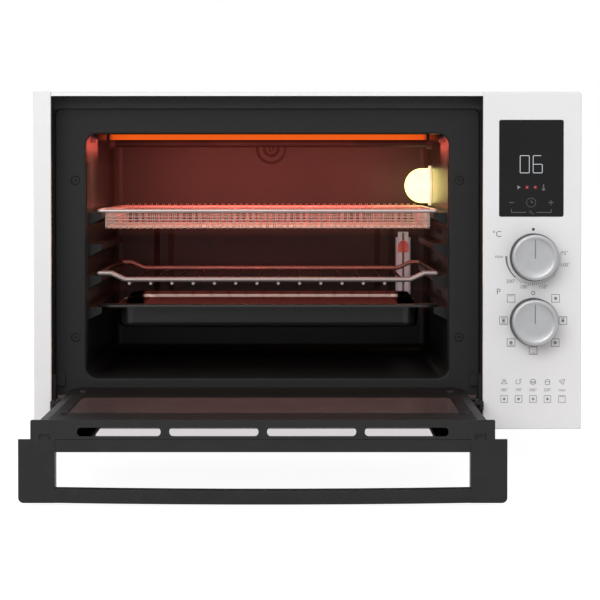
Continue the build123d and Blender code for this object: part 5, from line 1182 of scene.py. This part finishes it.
def weave_basket():
    """Paired wires from front to back and single ones from side to side, hooked over the rim."""
    low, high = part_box("basket_mesh")
    rim_low, rim_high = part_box("basket_rim")
    rim = (rim_low.z + rim_high.z) / 2
    top = rim + RIM_ROD + WEAVE_WIRE
    bottom = low.z + WEAVE_WIRE
    x0, x1 = rim_low.x + BASKET_SIDE, rim_high.x - BASKET_SIDE
    y0, y1 = low.y + WEAVE_WIRE, high.y - WEAVE_WIRE
    mesh = bmesh.new()

    count = round((x1 - x0 - WEAVE_PAIR) / WEAVE_PITCH)
    run = pan_wire(y0, y1, top, bottom, RIM_ROD)
    for n in range(count + 1):
        x = x0 + (x1 - x0 - WEAVE_PAIR) * n / count
        for shift in (0, WEAVE_PAIR):
            add_tube(mesh, [Vector((x + shift, y, z)) for y, z in run], WEAVE_WIRE, WIRE_SIDES)

    count = round((y1 - y0) / WEAVE_ROW)
    raised = bottom + 2 * WEAVE_WIRE
    run = pan_wire(x0, x1, rim, raised, 0.0)[2:-2]
    for n in range(1, count):
        y = y0 + (y1 - y0) * n / count
        add_tube(mesh, [Vector((x, y, z)) for x, z in run], WEAVE_WIRE, CROSS_WIRE_SIDES)

    rows = int((rim - RIM_ROD - bottom) / WEAVE_ROW)
    corners = [(x0, y0), (x1, y0), (x1, y1), (x0, y1), (x0, y0)]
    for row in range(rows + 1):
        z = bottom + FIRST_ROW_RISE + WEAVE_ROW * row
        for start, end in zip(corners, corners[1:]):
            add_tube(mesh, [Vector((*start, z)), Vector((*end, z))], WEAVE_WIRE, CROSS_WIRE_SIDES)

    for n in range(EAR_COUNT):
        y = y0 + (y1 - y0) * (n + 0.5) / EAR_COUNT
        for inner, outer in ((x0, rim_low.x + RIM_ROD), (x1, rim_high.x - RIM_ROD)):
            ends = [Vector((inner, y, rim)), Vector((outer, y, rim))]
            add_tube(mesh, ends, WEAVE_WIRE * 2, WIRE_SIDES)
    basket = piece("basket_weave", mesh, "basket", bright_wire)
    smooth(basket, 60)
    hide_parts("basket_mesh")


# The gauze that shows in the sensor guard's window

GAUZE_WIDTH = 13.0 * MM
GAUZE_HEIGHT = 15.0 * MM
GAUZE_DROP = 9.2 * MM
GAUZE_BACK = 1.9 * MM
GAUZE_WIRE = 0.35 * MM
GAUZE_PITCH = 1.3 * MM
GAUZE_LEAN = 0.5 * MM


def weave_gauze():
    """A small square of slanting wires behind the window."""
    low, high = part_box("sensor_guard")
    x, y = (low.x + high.x) / 2, low.y + GAUZE_BACK
    half = GAUZE_WIDTH / 2
    mesh = bmesh.new()
    for n in range(int(GAUZE_HEIGHT / GAUZE_PITCH)):
        z = high.z - GAUZE_DROP - GAUZE_PITCH * (n + 0.5)
        for lean in (-GAUZE_LEAN, GAUZE_LEAN):
            ends = (Vector((x - half, y, z - lean)), Vector((x + half, y, z + lean)))
            add_tube(mesh, ends, GAUZE_WIRE, 5)
    piece("sensor_gauze", mesh, "oven", red_gauze)


# Camera, floor and sky

FLOOR_HALF = 30
FLOOR_DROP = 0.0002
FLOOR_COLOR = grey(0.8)
FLOOR_SHADOW_COLOR = grey(0.25)
FLOOR_LIGHT = 0.94
WORLD_LEVEL = 0.52


def place_camera():
    """The photograph's view of the front."""
    data = bpy.data.cameras.new("view")
    data.sensor_width = SENSOR_MM
    data.lens = FOCAL_PX / FRAME_PX * SENSOR_MM
    horizon = FOCAL_PX * math.tan(math.radians(CAMERA_PITCH_DEG))
    data.shift_x = (FRAME_PX / 2 - VANISHING_PX[0]) / FRAME_PX
    data.shift_y = (VANISHING_PX[1] + horizon - FRAME_PX / 2) / FRAME_PX
    data.clip_start, data.clip_end = 0.1, 50
    camera = bpy.data.objects.new("view", data)
    camera.location = (CAMERA_X, FRONT_Y - CAMERA_DISTANCE, CASE_BOTTOM + CAMERA_RISE)
    camera.rotation_euler = (math.radians(90 - CAMERA_PITCH_DEG), 0, 0)
    bpy.context.scene.collection.objects.link(camera)
    bpy.context.scene.camera = camera


def seen_by(tree):
    """One for what the camera, a mirror or glass sees, and nought for light that lands."""
    path = tree.nodes.new("ShaderNodeLightPath")
    total = path.outputs["Is Camera Ray"]
    for other in ("Is Glossy Ray", "Is Transmission Ray"):
        most = tree.nodes.new("ShaderNodeMath")
        most.operation = "MAXIMUM"
        tree.links.new(total, most.inputs[0])
        tree.links.new(path.outputs[other], most.inputs[1])
        total = most.outputs[0]
    return total


def lay_floor():
    """A pale floor that keeps a soft shadow."""
    mesh = bmesh.new()
    bmesh.ops.create_grid(mesh, x_segments=1, y_segments=1, size=FLOOR_HALF)
    data = bpy.data.meshes.new("floor")
    mesh.to_mesh(data)
    mesh.free()
    floor = bpy.data.objects.new("floor", data)
    floor.location.z = -FLOOR_DROP
    bpy.context.scene.collection.objects.link(floor)
    made = bpy.data.materials.new("floor")
    made.use_nodes = True
    tree = made.node_tree
    tree.nodes.clear()
    output = tree.nodes.new("ShaderNodeOutputMaterial")
    plain = tree.nodes.new("ShaderNodeBsdfDiffuse")
    plain.inputs["Color"].default_value = FLOOR_COLOR
    seen = tree.nodes.new("ShaderNodeAddShader")
    soft = tree.nodes.new("ShaderNodeBsdfDiffuse")
    soft.inputs["Color"].default_value = FLOOR_SHADOW_COLOR
    light = tree.nodes.new("ShaderNodeEmission")
    light.inputs["Strength"].default_value = FLOOR_LIGHT
    tree.links.new(soft.outputs[0], seen.inputs[0])
    tree.links.new(light.outputs[0], seen.inputs[1])
    mix = tree.nodes.new("ShaderNodeMixShader")
    tree.links.new(seen_by(tree), mix.inputs["Fac"])
    tree.links.new(plain.outputs[0], mix.inputs[1])
    tree.links.new(seen.outputs[0], mix.inputs[2])
    tree.links.new(mix.outputs[0], output.inputs["Surface"])
    data.materials.append(made)


def make_world():
    """White where it is seen, and a plain level where it lights."""
    world = bpy.data.worlds.new("studio")
    bpy.context.scene.world = world
    world.use_nodes = True
    tree = world.node_tree
    back = tree.nodes["Background"]
    back.inputs["Color"].default_value = (1, 1, 1, 1)
    level = tree.nodes.new("ShaderNodeMapRange")
    level.inputs["To Min"].default_value = WORLD_LEVEL
    level.inputs["To Max"].default_value = 1.0
    tree.links.new(seen_by(tree), level.inputs["Value"])
    tree.links.new(level.outputs[0], back.inputs["Strength"])


# Lamps: sizes and places in metres, powers in watts

# Name, place, size and power of the studio's lamps, which face the middle of the front
STUDIO_LAMPS = [
    ("front_lamp", (-0.8, -2.6, 1.5), (2.2, 1.6), 41),
    ("top_lamp", (0.3, -0.4, 2.2), (1.8, 1.8), 6),
]
STUDIO_TARGET_RISE = 0.15

# The heater's light downwards, on the back wall and on the upper ends of the side walls
HEATER_SIZE, HEATER_POWER, HEATER_TINT = (0.32, 0.006), 1.8, (1.0, 0.42, 0.30)
HEATER_GAP = 2 * MM
REAR_SIZE, REAR_POWER, REAR_TINT = (0.3, 0.04), 1.35, (1.0, 0.16, 0.12)
REAR_Y = 60 * MM
REAR_DROP = 40 * MM
REAR_TILT_DROP = 30 * MM
REAR_SPREAD_DEG = 100
SIDE_SIZE, SIDE_POWER, SIDE_TINT = (0.13, 0.01), 0.26, (1.0, 0.15, 0.11)
SIDE_INSET = 24 * MM
SIDE_SETBACK = 15 * MM
SIDE_DROP = 3 * MM
SIDE_TILT_DROP = 8 * MM
SIDE_SPREAD_DEG = 140

# The bulb's light into the oven
BULB_POWER, BULB_TINT, BULB_RADIUS = 0.08, (1.0, 0.62, 0.34), 0.012
BULB_OUT = 0.02


def area_lamp(name, place, target, size, power, color=(1, 1, 1), spread=180):
    """A rectangle of light at one place that faces another; spread is in degrees."""
    data = bpy.data.lights.new(name, "AREA")
    data.spread = math.radians(spread)
    data.shape = "RECTANGLE"
    data.size, data.size_y = size
    data.energy = power
    data.color = color
    lamp = bpy.data.objects.new(name, data)
    lamp.location = place
    lamp.rotation_euler = (Vector(target) - Vector(place)).to_track_quat("-Z", "Y").to_euler()
    lamp.visible_camera = False
    bpy.context.scene.collection.objects.link(lamp)
    return lamp


def place_heater_light():
    """The glow that the grill heater throws on the walls; mirrors don't show these lamps."""
    liner_low, liner_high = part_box("oven_liner")
    x, y, _ = middle_of("grill_heater")
    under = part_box("grill_heater")[0].z - HEATER_GAP
    below = (x, y, 0)
    lamps = [area_lamp("heater_glow", (x, y, under), below, HEATER_SIZE, HEATER_POWER, HEATER_TINT)]
    low = liner_high.z - REAR_DROP
    back = (x, liner_high.y, low - REAR_TILT_DROP)
    lamps.append(area_lamp(
        "rear_glow", (x, REAR_Y, low), back, REAR_SIZE, REAR_POWER, REAR_TINT, REAR_SPREAD_DEG,
    ))
    for side in (-1, 1):
        wall = x + side * (liner_high.x - liner_low.x) / 2
        place = (wall - side * SIDE_INSET, y + SIDE_SETBACK, under - SIDE_DROP)
        target = (wall, y + SIDE_SETBACK, under - SIDE_TILT_DROP)
        lamps.append(area_lamp(
            "side_glow", place, target, SIDE_SIZE, SIDE_POWER, SIDE_TINT, SIDE_SPREAD_DEG,
        ))
    for lamp in lamps:
        lamp.visible_glossy = False


def place_bulb_light():
    """The oven lamp's own light, just inside its glass."""
    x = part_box("lamp_glass")[0].x - BULB_OUT
    _, y, z = middle_of("lamp_glass")
    data = bpy.data.lights.new("oven_lamp", "POINT")
    data.energy = BULB_POWER
    data.color = BULB_TINT
    data.shadow_soft_size = BULB_RADIUS
    lamp = bpy.data.objects.new("oven_lamp", data)
    lamp.location = (x, y, z)
    lamp.visible_camera = False
    lamp.visible_glossy = False
    bpy.context.scene.collection.objects.link(lamp)


def place_lamps():
    """Soft studio light, and the oven's own."""
    target = (0, FRONT_Y, CASE_BOTTOM + STUDIO_TARGET_RISE)
    for name, place, size, power in STUDIO_LAMPS:
        area_lamp(name, place, target, size, power)
    place_heater_light()
    place_bulb_light()


bpy.context.scene.view_settings.view_transform = "Standard"
place_camera()
lay_floor()
make_world()
place_lamps()
finish_nodes()
weave_basket()
weave_gauze()
ring_frame_screws()
print_temperature_dial()
print_program_dial()
print_food_table()
show_display()
turned_cap("temperature_cap_turned", "temperature_knob_cap", "temperature_control")
turned_cap("program_cap_turned", "program_knob_cap", "program_control")
